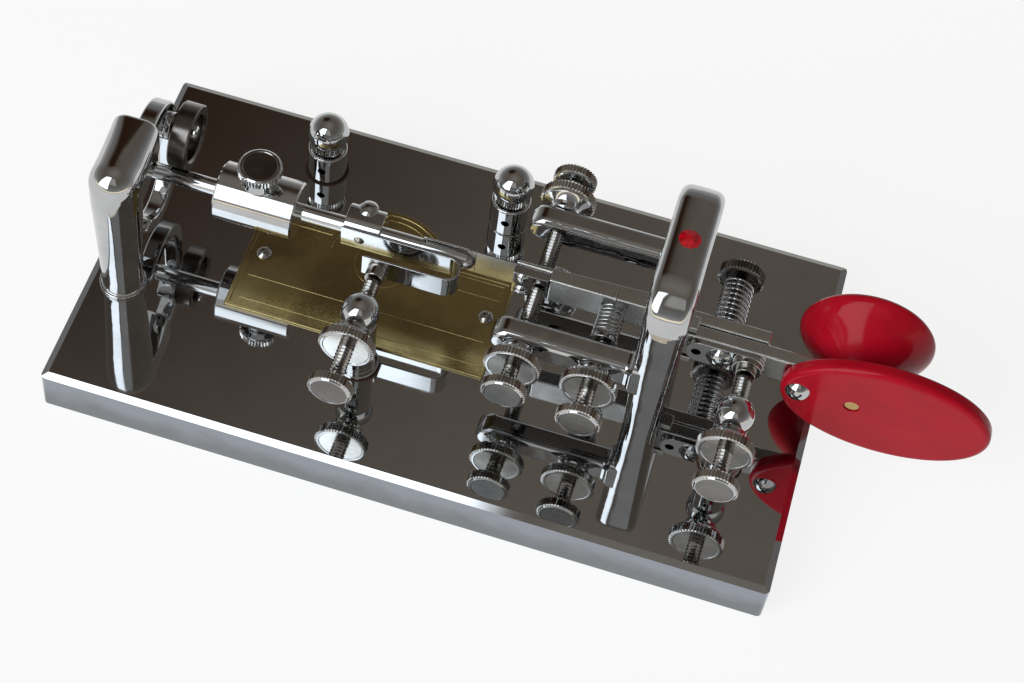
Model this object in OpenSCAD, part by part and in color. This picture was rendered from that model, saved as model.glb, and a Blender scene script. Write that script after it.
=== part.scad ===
// Semi-automatic telegraph key: a vibrating pendulum makes the dots, a side lever makes the dashes.
// Millimetres. +X runs along the base towards the finger pieces, +Y away from the operator's thumb, +Z up.
// The origin is the middle of the whole key's bounding box, on the surface that it stands on.

/* [Base] */
// Length of the base slab
base_l = 165.1; // [140:0.1:200]
// Width of the base slab
base_w = 88.9; // [80:0.1:110]
// Thickness of the base slab
base_t = 11.1; // [9.5:0.1:14]
// Chamfer round the top of the slab
base_bevel = 0.9; // [0.4:0.1:1.5]
// Rounding of the slab's upright corners
base_corner_r = 1.2; // [0.5:0.1:3]
// Depth of the wiring recess under the slab
recess_h = 3.2; // [2.6:0.1:4]
// Height of a rubber foot below the slab
foot_h = 3; // [2:0.1:5]
// Diameter of a rubber foot
foot_d = 13; // [10:0.5:16]
// Distance of a foot's centre from the slab's edges
foot_inset = 10.5; // [9:0.5:14]
// Diameter of the feet screws' threads
foot_screw_d = 2.8; // [2:0.1:3.5]

/* [Mechanism line] */
// Height of the rod, the lever and all adjusting screws above the slab
axis_h = 20.3; // [19:0.1:23]
// Sideways place of the pivot and rod line
mech_y = 2.6; // [0:0.1:4]
// Place of the vertical pivot along the base
pivot_x = 46.4; // [44:0.1:50]

/* [Yoke frame] */
// Height of the arch above the slab
yoke_h = 50; // [47:0.5:56]
// Outside depth of the arch at its feet
yoke_span = 38.4; // [37:0.1:42]
// Width of a leg along the base at its foot
leg_w = 7.8; // [7:0.1:9]
// Width of the arch at its top
crown_w = 10; // [9:0.1:12]
// Wall of the legs and the crown
yoke_wall = 7; // [6.4:0.1:7.6]
// Radius of the outer shoulders
shoulder_r = 9.5; // [8:0.1:12]
// Radius under the shoulders
inner_r = 4.5; // [3:0.1:6]
// Length of an arm from the pivot to its rounded end
arm_reach = 36; // [34:0.1:40]
// Thickness of an arm
arm_t = 5.8; // [5.4:0.1:6.6]
// Height of an arm
arm_h = 7.4; // [7:0.1:9]
// Rounding along an arm's edges
arm_round = 2.2; // [1:0.1:2.6]
// Distance from the pivot to the two stop screws
stop_reach = 29.3; // [27:0.1:31]
// Distance from the pivot to the return spring's screw
return_reach = 12.4; // [12:0.1:14]
// Diameter of the two frame screws
frame_screw_d = 3.5; // [3:0.1:4]

/* [Pivot] */
// Diameter of the pivot shaft
shaft_d = 3.2; // [2.8:0.1:3.6]
// Diameter of the shaft's two bearing tips
tip_d = 1.6; // [1.2:0.1:2]
// Diameter of the red jewel bearing
jewel_d = 5.6; // [5:0.1:6.2]
// Depth of the jewel in the crown
jewel_t = 3.2; // [2.6:0.1:3.8]
// Diameter of the lower bearing screw
pivot_screw_d = 6; // [5.4:0.1:6.6]
// Height of the shaft's lower shoulder above the slab
pivot_screw_h = 5; // [4.6:0.1:6]
// Diameter of the hub that the levers turn with
hub_d = 7; // [6.4:0.1:7.6]

/* [Levers] */
// Height of the lever bars
lever_h = 7.8; // [7:0.1:8.6]
// Distance from the pivot to the dot lever's left end
lever_left = 35.4; // [34:0.1:38]
// Distance from the pivot to the dot lever's right end
lever_right = 22.3; // [22:0.1:24]
// Thickness of the dot lever at the pivot
lever_t = 4.8; // [4.5:0.1:5.2]
// Thickness of the dot lever past the pivot
lever_right_t = 3.3; // [3:0.1:3.6]
// Distance of the levers' meeting plane from the rod line
lever_front_off = 2; // [1.7:0.1:2.2]
// Thickness of the dot lever at its left end
lever_tip_t = 3.2; // [3.1:0.1:3.6]
// Thickness of the finger lever
finger_t = 3.3; // [3:0.1:3.8]
// Gap between the two levers at rest
lever_gap = 0.2; // [0.15:0.05:0.3]
// Distance from the pivot to the finger lever's right end
finger_right = 44.5; // [43:0.1:47]
// Thickness of an ear that carries the finger lever on the shaft
ear_t = 1.8; // [1.6:0.1:2.2]
// Thickness of the main spring
spring_t = 0.4; // [0.3:0.05:0.5]
// Height of the main spring
spring_h = 7.4; // [6.6:0.1:7.6]
// Free length of the main spring
spring_free = 9; // [8.5:0.1:10]
// Length of the plate that clamps the main spring
clamp_l = 8; // [7.8:0.1:9]
// How far that plate stands out of the lever's face
clamp_proud = 0.4; // [0.2:0.1:0.6]
// Gap between the lever and its dot stop at rest
stroke_gap = 0.5; // [0.48:0.01:0.6]

/* [Finger pieces] */
// Length of the thumb paddle
paddle_l = 45.9; // [40:0.1:48]
// Height of the thumb paddle
paddle_h = 29.2; // [26:0.1:33]
// Thickness of the thumb paddle
paddle_t = 3.8; // [2.8:0.1:4.4]
// Height of the paddle's centre above the lever's centre
paddle_rise = -0.5; // [-1.5:0.1:1.5]
// Distance from the pivot to the paddle's near end
paddle_start = 26.6; // [26.5:0.1:28]
// Distance from the pivot to the knob's axis
knob_reach = 42.4; // [41.5:0.1:43]
// Diameter of the finger knob's rim
knob_d = 29.8; // [26:0.1:31]
// Depth of the finger knob along its axis
knob_l = 12.5; // [10:0.1:13]
// Diameter of the finger knob's neck
knob_neck_d = 9.6; // [8.6:0.1:10.6]
// Thickness of the knob's rim
knob_rim = 1.4; // [1:0.1:2.4]
// Diameter of the brass stud through knob and paddle
stud_d = 3.4; // [3:0.1:4]

/* [Pendulum] */
// Diameter of the rod
rod_d = 3.9; // [3.6:0.1:4.1]
// Distance from the pivot to the rod's free end
rod_reach = 122; // [119:0.1:123]
// Diameter of the ferrule at the rod's sprung end
ferrule_d = 4.7; // [4.5:0.1:4.8]
// Length of the ferrule
ferrule_l = 12.4; // [12:0.1:14]
// Diameter of the sliding weight
weight_d = 13.4; // [12:0.1:15]
// Length of the sliding weight
weight_l = 18.6; // [15:0.1:19]
// Distance from the pivot to the weight's centre
weight_reach = 94.6; // [94:0.1:96]
// Diameter of the weight's thumb screw
thumb_d = 10; // [9:0.1:11]
// Height of the thumb screw's collar over the weight
thumb_collar_h = 3.6; // [3:0.1:4.5]
// Thickness of the thumb screw's disc
thumb_disc_t = 2.4; // [2:0.1:3]

/* [Dot contact] */
// Distance from the pivot to the dot post
dot_reach = 64.2; // [63.6:0.1:65]
// Length of the clamp along the rod
saddle_l = 8.4; // [8:0.1:9]
// Distance from the pivot to the clamp's left end
saddle_reach = 74.6; // [74:0.1:75.4]
// Height of the U-shaped contact spring's strip
strip_h = 6.2; // [5.8:0.1:6.6]
// Thickness of that strip
strip_t = 0.5; // [0.4:0.05:0.6]
// Outer radius of its bend
bend_r = 3.2; // [3:0.1:3.4]
// Distance from the pivot to the bend's outer face
bend_reach = 46.4; // [46:0.1:47]
// Diameter of a contact point
point_d = 4.4; // [4:0.1:5]
// Gap between dot contact and its screw at rest
dot_gap = 0.5; // [0.4:0.05:0.6]

/* [Dash contact] */
// Distance from the pivot to the dash post
dash_reach = 18.9; // [18.7:0.1:19.1]
// Length of the dash contact's strap
strap_l = 17.4; // [16.8:0.1:18]
// Distance from the pivot to the strap's left end
strap_start = 5; // [4.8:0.1:5.2]
// Thickness of the strap
strap_t = 1.2; // [1:0.1:1.4]
// Height of the strap
strap_h = 7; // [6.6:0.1:7.4]
// Gap between dash contact and its screw at rest
dash_gap = 0.6; // [0.5:0.05:0.8]

/* [Contact posts] */
// Distance of the dot post's centre from the rod line
dot_post_off = 21; // [20.6:0.1:21.6]
// Distance of the dash post's centre from the rod line
dash_post_off = 19.4; // [19:0.1:20]
// Diameter of a post's ball
ball_d = 8.8; // [8.4:0.1:9.2]
// Diameter of a post's column
column_d = 7.6; // [7:0.1:8]
// Diameter of a post's foot ring
post_foot_d = 9.6; // [9:0.1:10.2]

/* [Adjusting screws and nuts] */
// Thread diameter of the adjusting screws
thread_d = 3.6; // [3.2:0.1:4]
// Running clearance of a screw or pin in its hole, on the radius
run_gap = 0.05; // [0.03:0.01:0.08]
// Diameter of a screw's knurled head
head_d = 10; // [9:0.1:10.6]
// Thickness of a screw's head
head_t = 2.6; // [2.2:0.1:3]
// Diameter of a lock nut's knurled rim
nut_d = 12.6; // [12:0.1:13.4]
// Thickness of a lock nut's rim
nut_rim_t = 2.4; // [2:0.1:2.8]
// Length of a lock nut
nut_l = 5.8; // [5:0.1:6.2]
// Diameter of a lock nut's hub where it seats
nut_hub_d = 7.2; // [6.4:0.1:8]
// Visible thread of the dot stop screw between nut and head
dot_stop_neck = 4.2; // [3:0.1:5]
// Visible thread of the return spring's screw
return_neck = 5.8; // [3:0.1:7]
// Visible thread of the back stop screw
back_stop_neck = 3.4; // [3:0.1:5]
// Visible thread of the dot contact screw
dot_neck = 8.6; // [6:0.1:9]
// Visible thread of the dash contact screw
dash_neck = 6.6; // [5:0.1:8]

/* [Coil springs] */
// Wire diameter of the return spring
return_wire = 0.5; // [0.4:0.05:0.6]
// Outside diameter of the return spring
return_d = 6; // [5.6:0.1:6.4]
// Turns of the return spring
return_turns = 7; // [6:1:7]
// Wire diameter of the dash spring
dash_wire = 0.55; // [0.4:0.05:0.6]
// Outside diameter of the dash spring
dash_spring_d = 7; // [6.6:0.1:7.4]
// Length of the dash spring between its seats
dash_spring_l = 13.2; // [12:0.1:13.6]
// Turns of the dash spring
dash_turns = 9; // [8:1:9]
// Diameter of the dash spring's adjusting knob
dash_knob_d = 10.6; // [10:0.1:11.4]

/* [Damper] */
// Distance from the pivot to the damper post
damper_reach = 121; // [120:0.1:122]
// Distance of the damper post's centre from the rod line
damper_off = 17.8; // [17.4:0.1:18.6]
// Diameter of the damper post at its foot
damper_d = 9.6; // [9:0.1:10.4]
// Diameter of the damper post under its head
damper_top_d = 11.4; // [10.4:0.1:12]
// Height of the damper's head above the slab
damper_h = 43.4; // [42.5:0.1:45]
// Height of the damper's head
damper_head_h = 11.5; // [11:0.1:12.5]
// Length of the damper's head over the rod line
damper_head_l = 20.2; // [19.4:0.1:20.6]
// Outer radius of the hoop round the rod
hoop_r = 10.8; // [10.6:0.1:11.4]
// Thickness of the hoop's band
hoop_t = 3.3; // [3:0.1:3.6]
// Width of the hoop's band
hoop_w = 4; // [3.6:0.1:4.2]
// Height of the hoop's upper arc centre above the slab
hoop_top_h = 30.4; // [30:0.1:31]
// Height of the hoop's lower arc centre above the slab
hoop_low_h = 15.8; // [15.4:0.1:16.4]
// Outside diameter of the damper ring
ring_d = 15.2; // [14.8:0.1:15.4]
// Wall of the damper ring
ring_wall = 2.1; // [1.8:0.1:2.3]
// Width of the damper ring
ring_w = 4.4; // [4:0.1:4.8]
// Diameter of the pin that the ring hangs on
ring_pin_d = 1.6; // [1.4:0.1:1.8]

/* [Binding posts] */
// Distance between the two binding posts
binding_pitch = 44.8; // [42:0.1:50]
// Place of the right binding post, left of the pivot
binding_reach = 43; // [42:0.1:45]
// Distance of the binding posts from the slab's back edge
binding_inset = 13.85; // [12.5:0.05:15]
// Diameter of a binding post's body
binding_d = 9.2; // [8.6:0.1:10]
// Height of a binding post's body
binding_h = 8.8; // [8.4:0.1:9.6]
// Diameter of the hole for a wire
wire_hole_d = 2; // [1.8:0.1:2.2]
// Height of the wire hole's centre above the slab
wire_hole_h = 4.6; // [4.4:0.1:4.8]
// Diameter of a binding nut's dome
dome_d = 9.6; // [9:0.1:10.4]
// Height of a binding nut's knurled skirt
skirt_h = 3.4; // [3:0.1:4]

/* [Name plate] */
// Length of the brass plate
plate_l = 61.2; // [58:0.1:62]
// Width of the brass plate without its lobe
plate_w = 27; // [25:0.1:28]
// Thickness of the brass plate
plate_t = 0.6; // [0.5:0.1:1]
// Place of the plate's left end, left of the pivot
plate_reach = 97.6; // [97:0.1:99]
// Distance of the plate's centre from the rod line
plate_off = 2.6; // [2:0.1:3]
// Radius of the round lobe on the plate's back edge
lobe_r = 15; // [14:0.1:17]

/* [Hidden] */

// Fineness of round shapes, and of the children of a hull
$fn = 64;
hull_fn = 32;
// One overrun for every cut
over = 1;
// Gap between pieces that must not touch
free_gap = 0.3;

// Heights and places that follow from the sizes above
top_z = foot_h + base_t;
axis_z = top_z + axis_h;
yoke_top = top_z + yoke_h;
arm_off = (yoke_span - yoke_wall) / 2;
arm_face = arm_off + arm_t / 2;
lever_left_x = pivot_x - lever_left;
ferrule_x = lever_left_x - spring_free;
dot_x = pivot_x - dot_reach;
dash_x = pivot_x + dash_reach;
stop_x = pivot_x - stop_reach;
return_x = pivot_x - return_reach;
damper_x = pivot_x - damper_reach;
damper_y = mech_y - damper_off;
weight_x = pivot_x - weight_reach;
saddle_x = pivot_x - saddle_reach;
bend_x = pivot_x - bend_reach - bend_r;
binding_right_x = pivot_x - binding_reach;
binding_left_x = binding_right_x - binding_pitch;
binding_y = base_w / 2 - binding_inset;
knob_x = pivot_x + knob_reach;
paddle_x = pivot_x + paddle_start + paddle_l / 2;
middle_x = (paddle_x + paddle_l / 2 - base_l / 2) / 2;

// Lever faces: the finger lever lies in front of the dot lever
shared_y = mech_y - lever_front_off;
finger_back_y = shared_y - lever_gap;
finger_front_y = finger_back_y - finger_t;
clamp_face_y = shared_y - clamp_proud;

// Under the slab: a post's screw holds a strap, and a fibre washer where it is insulated
recess_z = foot_h + recess_h;
washer_t = 0.6;
wire_strap_t = 0.6;
strap_top_z = recess_z - washer_t;
screw_seat_z = strap_top_z - wire_strap_t;
under_head_d = 6;
under_head_t = 1.5;
post_screw_d = 3;
post_screw_in = 2.9;
bushing_d = 6.4;
bushing_flange_t = 0.8;
bushing_rim = 0.3;
wire_strap_w = 5;
channel_room = 1.5;
washer_d = 9;
strap_detour = 24;
run_past_share = 0.31;

// Small sizes of screws, pins and rivets
foot_screw_in = 6;
foot_head_d = 5.6;
foot_head_t = 1.4;
foot_head_up = 0.6;
pin_inset = 4;
pin_shank_d = 1.6;
pin_in = 4;
pin_head_d = 3.6;
pin_head_h = 0.9;
lobe_share = 0.33;
frame_screw_in = 9;
frame_head_d = 6;
frame_head_t = 1.6;
pivot_nut_d = 9.6;
pivot_nut_t = 2.4;
damper_screw_d = 4;
damper_head_d = 8;
damper_screw_in = 10;
bushing_flange_d = post_foot_d + 2 * bushing_rim;
strap_end_d = 7.6;
slot_w = 0.9;
slot_depth = 1.2;
end_play = 0.1;
jewel_rise = 0.5;
tip_l = 1.8;
hub_rise = 0.8;
rim_bevel = 0.3;
weight_bevel = 0.4;

// Small sizes on the levers
clamp_screw_inset = 2.2;
clamp_screw_space = 4.6;
clamp_screw_d = 1.4;
clamp_head_d = 3.2;
clamp_head_t = 0.9;
hook_in = 1.3;
hook_depth = 1.6;
ear_gap = 0.15;
web_gap = 0.2;
web_l = 2.6;
rivet_d = 1.4;
rivet_head_d = 2.4;
rivet_head_t = 0.4;
rivet_shares = [0.3, 0.75];
spring_inset = 0.9;
dash_screw_reach = 12.6;
dash_screw_d = 2.6;
dash_screw_room = 0.5;
dash_head_d = 6;
dash_head_h = 1.7;
dash_screw_past = 0.6;
dash_knob_t = 2.8;
spare_hole_reach = 7.4;
spare_hole_x = pivot_x + spare_hole_reach;
spare_hole_d = 2.2;
strap_round_share = 0.45;
point_base_d = 6.6;
point_base_t = 1.1;
dash_point_l = 1.4;
point_l = 3;
paddle_screw_inset = 3.9;
paddle_screw_d = 2.4;
paddle_head_d = 5.9;
paddle_head_h = 1.5;
stud_sunk = 0.3;
stud_in = 6;
ellipse_steps = 96;
flare_steps = 16;
flare_power = 1.1;

// Small sizes on the pendulum
thumb_screw_d = 3.2;
thumb_collar_share = 0.78;
thumb_neck_share = 0.55;
saddle_front = 2.6;
saddle_back = 5.4;
saddle_h = 6.4;
saddle_round = 1.4;
saddle_screw_off = 3.7;
saddle_head_d = 4.4;
leaf_past = 3.6;

// Small sizes on the adjusters and posts
nut_waist_share = 0.45;
nut_edge = 1.1;
nut_dish = 0.9;
head_lap_share = 0.5;
stop_touch = 0.1;
seat_room = 2.2;
seat_t = 1;
seat_lip = 0.3;
spigot_share = 0.16;
post_foot_t = 1.2;
clamp_room = 0.5;
stud_break = 0.35;
skirt_share = 0.84;
dome_share = 0.25;

// Small sizes on the damper
damper_flare_share = 0.25;
damper_back_share = 0.62;
damper_back_w = 9.8;
head_fall = 0.4;
hoop_shift = 1.4;
hoop_off = 1.1;
tongue_share = 0.25;
lug_r = 3.2;
ring_pin_off = 4.5;
ring_pin_up = 11.7;
ring_lean = 22.5;
hanger_d = 6.4;
hanger_t = 1.1;
hanger_gap = 0.15;
pin_cap_d = 3.2;
pin_cap_t = 0.9;

// Places on the slab
dot_post_y = mech_y - dot_post_off;
dash_post_y = mech_y - dash_post_off;
foot_places = [for (sx = [-1, 1], sy = [-1, 1])
    [sx * (base_l / 2 - foot_inset), sy * (base_w / 2 - foot_inset)]];
live_posts = [[binding_left_x, binding_y], [dot_x, dot_post_y], [dash_x, dash_post_y]];
ground_post = [binding_right_x, binding_y];
leg_places = [[pivot_x, mech_y - arm_off], [pivot_x, mech_y + arm_off]];
live_route = [live_posts[0], live_posts[1], [pivot_x, mech_y - strap_detour], live_posts[2]];
ground_route = [ground_post, leg_places[1]];
plate_x = pivot_x - plate_reach;
plate_y = mech_y - plate_off;
lobe_x = plate_x + plate_l / 2;
lobe_y = plate_y + plate_w / 2 - lobe_share * lobe_r;
pin_places = [for (s = [-1, 1]) [plate_x + plate_l / 2 + s * (plate_l / 2 - pin_inset), mech_y]];

// Places on the pivot and the levers
shaft_low = top_z + pivot_screw_h + end_play;
shaft_high = yoke_top - jewel_t - end_play;
hub_h = lever_h + 2 * hub_rise;
right_back_y = shared_y + lever_right_t;
dash_screw_x = pivot_x + dash_screw_reach;
clamp_screw_x = lever_left_x + clamp_screw_inset;
clamp_screw_zs = [axis_z - clamp_screw_space / 2, axis_z + clamp_screw_space / 2];
hook_x = return_x;
hook_y = shared_y + hook_in;
ear_z = hub_h / 2 + ear_gap;
web_x = pivot_x + hub_d / 2 + free_gap + web_gap;
paddle_front_y = finger_front_y - paddle_t;
paddle_screw_x = pivot_x + paddle_start + paddle_screw_inset;
strap_face_y = finger_front_y - strap_t;
dash_knob_y = right_back_y + dash_spring_l;

// Places on the pendulum
ferrule_left_x = ferrule_x - ferrule_l;
rivet_xs = [for (share = rivet_shares) ferrule_x - share * ferrule_l];
spring_end_x = ferrule_left_x + spring_inset;
weight_top_z = axis_z + weight_d / 2;
saddle_front_y = mech_y - saddle_front;
saddle_screw_p = [saddle_x + saddle_l / 2, mech_y + saddle_screw_off];
inner_rivet_x = saddle_x + saddle_l / 2;
outer_leaf_y = saddle_front_y - 2 * bend_r;

// Tips and seats of the adjusting screws, outward from the rod line
stop_tip = lever_front_off + clamp_proud + stroke_gap;
back_slope = (lever_t - lever_tip_t) / lever_left;
back_stop_tip = lever_tip_t - lever_front_off + back_slope * (lever_left - stop_reach + thread_d / 2)
    + stop_touch;
return_tip = arm_off - arm_t / 2 - seat_room;
dot_tip = saddle_front + 2 * bend_r + point_l + dot_gap;
dash_tip = mech_y - strap_face_y + point_base_t + dash_point_l + dash_gap;
dot_seat = dot_post_off + ball_d / 2;
dash_seat = dash_post_off + ball_d / 2;
return_l = return_tip - lever_front_off;

// Places on the binding posts and the damper
body_top_z = top_z + binding_h;
stud_low_z = top_z + wire_hole_h + wire_hole_d / 2 + run_gap;
nut_low_z = body_top_z + clamp_room;
head_low_z = top_z + damper_h - damper_head_h;
head_back_y = damper_y - damper_top_d / 2 + damper_head_l;
hoop_x = damper_x + hoop_shift;
hoop_y = mech_y - hoop_off;
hoop_top_z = top_z + hoop_top_h;
hoop_low_z = top_z + hoop_low_h;
ring_pin_y = mech_y + ring_pin_off;
ring_pin_z = axis_z + ring_pin_up;
ring_drop = ring_d / 2 - ring_wall - ring_pin_d / 2 - run_gap;
ring_x = hoop_x + hoop_w / 2 + hanger_t + 2 * hanger_gap + ring_w / 2;

// Rings and sides of a coil spring's tube
coil_rings = 8;
coil_sides = 6;

// Colours
steel = [0.78, 0.79, 0.81];
dark_steel = [0.33, 0.33, 0.34];
brass_colour = [0.72, 0.6, 0.3];
red_plastic = [0.72, 0.03, 0.05];
rubber_black = [0.07, 0.07, 0.07];
fibre_brown = [0.25, 0.13, 0.08];

// Moves the whole key so that its bounding box is centred on the origin
module placed() {
    translate([-middle_x, 0, 0])
        children();
}

// A cylinder along +Y from a given point
module rod_y(p, r, l) {
    translate(p)
        rotate([-90, 0, 0])
            cylinder(r = r, h = l);
}

// A cylinder along +X from a given point
module rod_x(p, r, l) {
    translate(p)
        rotate([0, 90, 0])
            cylinder(r = r, h = l);
}

// Rubber feet and the recess under the slab

// A flat strap of width w along a list of points, with a wider round end on each screw
module run(points, w, end_d, z, h) {
    past = run_past_share * end_d;
    for (i = [0 : len(points) - 2]) {
        a = points[i];
        d = points[i + 1] - a;
        translate([a.x, a.y, z])
            rotate([0, 0, atan2(d.y, d.x)])
                translate([-past, -w / 2, 0])
                    cube([norm(d) + 2 * past, w, h]);
    }
    for (p = points)
        translate([p.x, p.y, z])
            cylinder(d = end_d, h = h);
}

// An upright cylinder at a place in the plan
module post(p, z, d, h) {
    translate([p.x, p.y, z])
        cylinder(d = d, h = h);
}

module slab() {
    r = base_corner_r;
    translate([r - base_l / 2, -base_w / 2, foot_h])
        cube([base_l - 2 * r, base_w, base_t]);
    translate([-base_l / 2, r - base_w / 2, foot_h])
        cube([base_l, base_w - 2 * r, base_t]);
    for (sx = [-1, 1], sy = [-1, 1])
        post([sx * (base_l / 2 - r), sy * (base_w / 2 - r)], foot_h, 2 * r, base_t);
}

module bevel_cuts() {
    s = base_bevel * sqrt(2);
    for (side = [-1, 1]) {
        translate([0, side * base_w / 2, top_z])
            rotate([45, 0, 0])
                cube([base_l + 2 * over, s, s], center = true);
        translate([side * base_l / 2, 0, top_z])
            rotate([0, 45, 0])
                cube([s, base_w + 2 * over, s], center = true);
    }
}

module wiring_recess() {
    w = wire_strap_w + 2 * channel_room;
    end_d = washer_d + 2 * channel_room;
    run(live_route, w, end_d, foot_h - over, recess_h + over);
    run(ground_route, w, end_d, foot_h - over, recess_h + over);
    post(leg_places[0], foot_h - over, end_d, recess_h + over);
    post([pivot_x, mech_y], foot_h - over, pivot_nut_d + 2 * channel_room, recess_h + over);
    post([damper_x, damper_y], foot_h - over, damper_head_d + 2 * free_gap, recess_h + over);
}

module base_holes() {
    through = base_t + 2 * over;
    for (p = live_posts) {
        post(p, foot_h, bushing_d + 2 * run_gap, through);
        post(p, top_z - bushing_flange_t, bushing_flange_d + 2 * run_gap, bushing_flange_t + over);
    }
    post(ground_post, foot_h, post_screw_d + 2 * run_gap, through);
    for (p = leg_places)
        post(p, foot_h, frame_screw_d + 2 * run_gap, through);
    post([pivot_x, mech_y], foot_h, pivot_screw_d + 2 * run_gap, through);
    post([damper_x, damper_y], foot_h, damper_screw_d + 2 * run_gap, through);
    for (p = foot_places)
        post(p, foot_h - over, foot_screw_d + 2 * run_gap, foot_screw_in + over);
    for (p = pin_places)
        post(p, top_z - pin_in, pin_shank_d + 2 * run_gap, pin_in + over);
}

module base_plate() {
    color(steel)
        difference() {
            slab();
            bevel_cuts();
            wiring_recess();
            base_holes();
        }
}

module rubber_feet() {
    color(rubber_black)
        for (p = foot_places)
            difference() {
                post(p, 0, foot_d, foot_h);
                post(p, -over, foot_screw_d + 2 * run_gap, foot_h + 2 * over);
                post(p, -over, foot_head_d + 2 * run_gap, foot_head_t + foot_head_up + over);
            }
}

module foot_screws() {
    color(steel)
        for (p = foot_places) {
            post(p, foot_head_up, foot_head_d, foot_head_t);
            post(p, foot_head_up, foot_screw_d, foot_h + foot_screw_in - foot_head_up - free_gap);
        }
}

// Name plate, bare, with a round lobe on its back edge

module name_plate() {
    color(brass_colour)
        translate([0, 0, top_z])
            linear_extrude(plate_t)
                difference() {
                    union() {
                        translate([plate_x, plate_y - plate_w / 2])
                            square([plate_l, plate_w]);
                        translate([lobe_x, lobe_y])
                            circle(r = lobe_r);
                    }
                    for (p = pin_places)
                        translate(p)
                            circle(d = pin_shank_d + 2 * run_gap);
                }
}

module plate_pins() {
    color(steel)
        for (p = pin_places) {
            post(p, top_z - pin_in + free_gap, pin_shank_d, pin_in + plate_t - free_gap);
            translate([p.x, p.y, top_z + plate_t])
                dome(pin_head_d / 2, pin_head_h);
        }
}

// A round-topped screw or pin head: the cap of a sphere, standing on z = 0
module dome(r, h) {
    ball_r = (r * r + h * h) / (2 * h);
    intersection() {
        translate([0, 0, h - ball_r])
            sphere(r = ball_r);
        cylinder(r = r + over, h = h + over);
    }
}

// Yoke frame: an arch over the levers, with two arms that carry the stop screws

// A rectangle standing on the origin, with its two upper corners rounded
module arch_outline(w, h, r) {
    translate([-w / 2, 0])
        square([w, h - r]);
    translate([r - w / 2, 0])
        square([w - 2 * r, h]);
    for (s = [-1, 1])
        translate([s * (w / 2 - r), h - r])
            circle(r = r);
}

module rounded_box_outline(w, h, r) {
    translate([-w / 2, r - h / 2])
        square([w, h - 2 * r]);
    translate([r - w / 2, -h / 2])
        square([w - 2 * r, h]);
    for (sx = [-1, 1], sy = [-1, 1])
        translate([sx * (w / 2 - r), sy * (h / 2 - r)])
            circle(r = r);
}

// Extrudes an outline drawn in Y and Z along X, or one drawn in X and Z along Y, both centred
module along_x(l) {
    rotate([90, 0, 90])
        linear_extrude(l, center = true)
            children();
}

module along_y(l) {
    rotate([90, 0, 0])
        linear_extrude(l, center = true)
            children();
}

module arch() {
    translate([pivot_x, mech_y, top_z])
        intersection() {
            along_x(crown_w + 2 * over)
                difference() {
                    arch_outline(yoke_span, yoke_h, shoulder_r);
                    translate([0, -over])
                        arch_outline(yoke_span - 2 * yoke_wall, yoke_h - yoke_wall + over, inner_r);
                }
            along_y(yoke_span + 2 * over)
                polygon([
                    [-leg_w / 2, 0],
                    [leg_w / 2, 0],
                    [crown_w / 2, yoke_h],
                    [-crown_w / 2, yoke_h]
                ]);
        }
}

// One arm with a round end, its length along X
module arm(side) {
    translate([pivot_x, mech_y + side * arm_off, axis_z])
        intersection() {
            translate([-arm_reach / 2, 0, 0])
                along_x(arm_reach)
                    rounded_box_outline(arm_t, arm_h, arm_round);
            along_y(arm_t + 2 * over)
                union() {
                    translate([arm_h / 2 - arm_reach, 0])
                        circle(d = arm_h);
                    translate([arm_h / 2 - arm_reach, -arm_h / 2])
                        square([arm_reach - arm_h / 2, arm_h]);
                }
        }
}

// Turns a piece drawn with +Y pointing outward from the rod line to the front or to the back
module outward(x, side) {
    translate([x, mech_y, axis_z])
        rotate([0, 0, side < 0 ? 180 : 0])
            children();
}

// A hole or shank along the outward direction, from one distance to another
module outward_rod(from, to, d) {
    rod_y([0, from, 0], d / 2, to - from);
}

module yoke_frame() {
    screw_hole = thread_d + 2 * run_gap;
    color(steel)
        difference() {
            union() {
                arch();
                arm(-1);
                arm(1);
            }
            for (x = [stop_x, return_x])
                outward(x, -1)
                    outward_rod(arm_off - arm_t, arm_off + arm_t, screw_hole);
            outward(stop_x, 1)
                outward_rod(arm_off - arm_t, arm_off + arm_t, screw_hole);
            post([pivot_x, mech_y], yoke_top - jewel_t, jewel_d + 2 * run_gap, jewel_t + over);
            post([pivot_x, mech_y], yoke_top - yoke_wall - over, shaft_d + 2 * free_gap, yoke_wall + over);
            for (p = leg_places)
                post(p, top_z - over, frame_screw_d + 2 * run_gap, frame_screw_in + over);
        }
}

module frame_screws() {
    seats = [recess_z, recess_z - wire_strap_t];
    color(steel)
        for (i = [0, 1]) {
            post(leg_places[i], seats[i] - frame_head_t, frame_head_d, frame_head_t);
            post(leg_places[i], seats[i] - frame_head_t, frame_screw_d, top_z + frame_screw_in - free_gap
                - seats[i] + frame_head_t);
        }
}

// Pivot: a shaft between a jewel in the crown and a screw in the slab

module pivot_jewel() {
    color(red_plastic)
        difference() {
            union() {
                post([pivot_x, mech_y], yoke_top - jewel_t, jewel_d, jewel_t);
                translate([pivot_x, mech_y, yoke_top])
                    dome(jewel_d / 2, jewel_rise);
            }
            post([pivot_x, mech_y], yoke_top - jewel_t - over, tip_d + 2 * run_gap, tip_l + free_gap + over);
        }
}

module pivot_screw() {
    color(steel)
        difference() {
            post([pivot_x, mech_y], foot_h + free_gap, pivot_screw_d, base_t + pivot_screw_h - free_gap);
            post([pivot_x, mech_y], top_z + pivot_screw_h - tip_l - free_gap, tip_d + 2 * run_gap,
                tip_l + free_gap + over);
            translate([pivot_x, mech_y, foot_h])
                cube([pivot_screw_d + over, slot_w, 2 * slot_depth + free_gap], center = true);
        }
}

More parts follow.
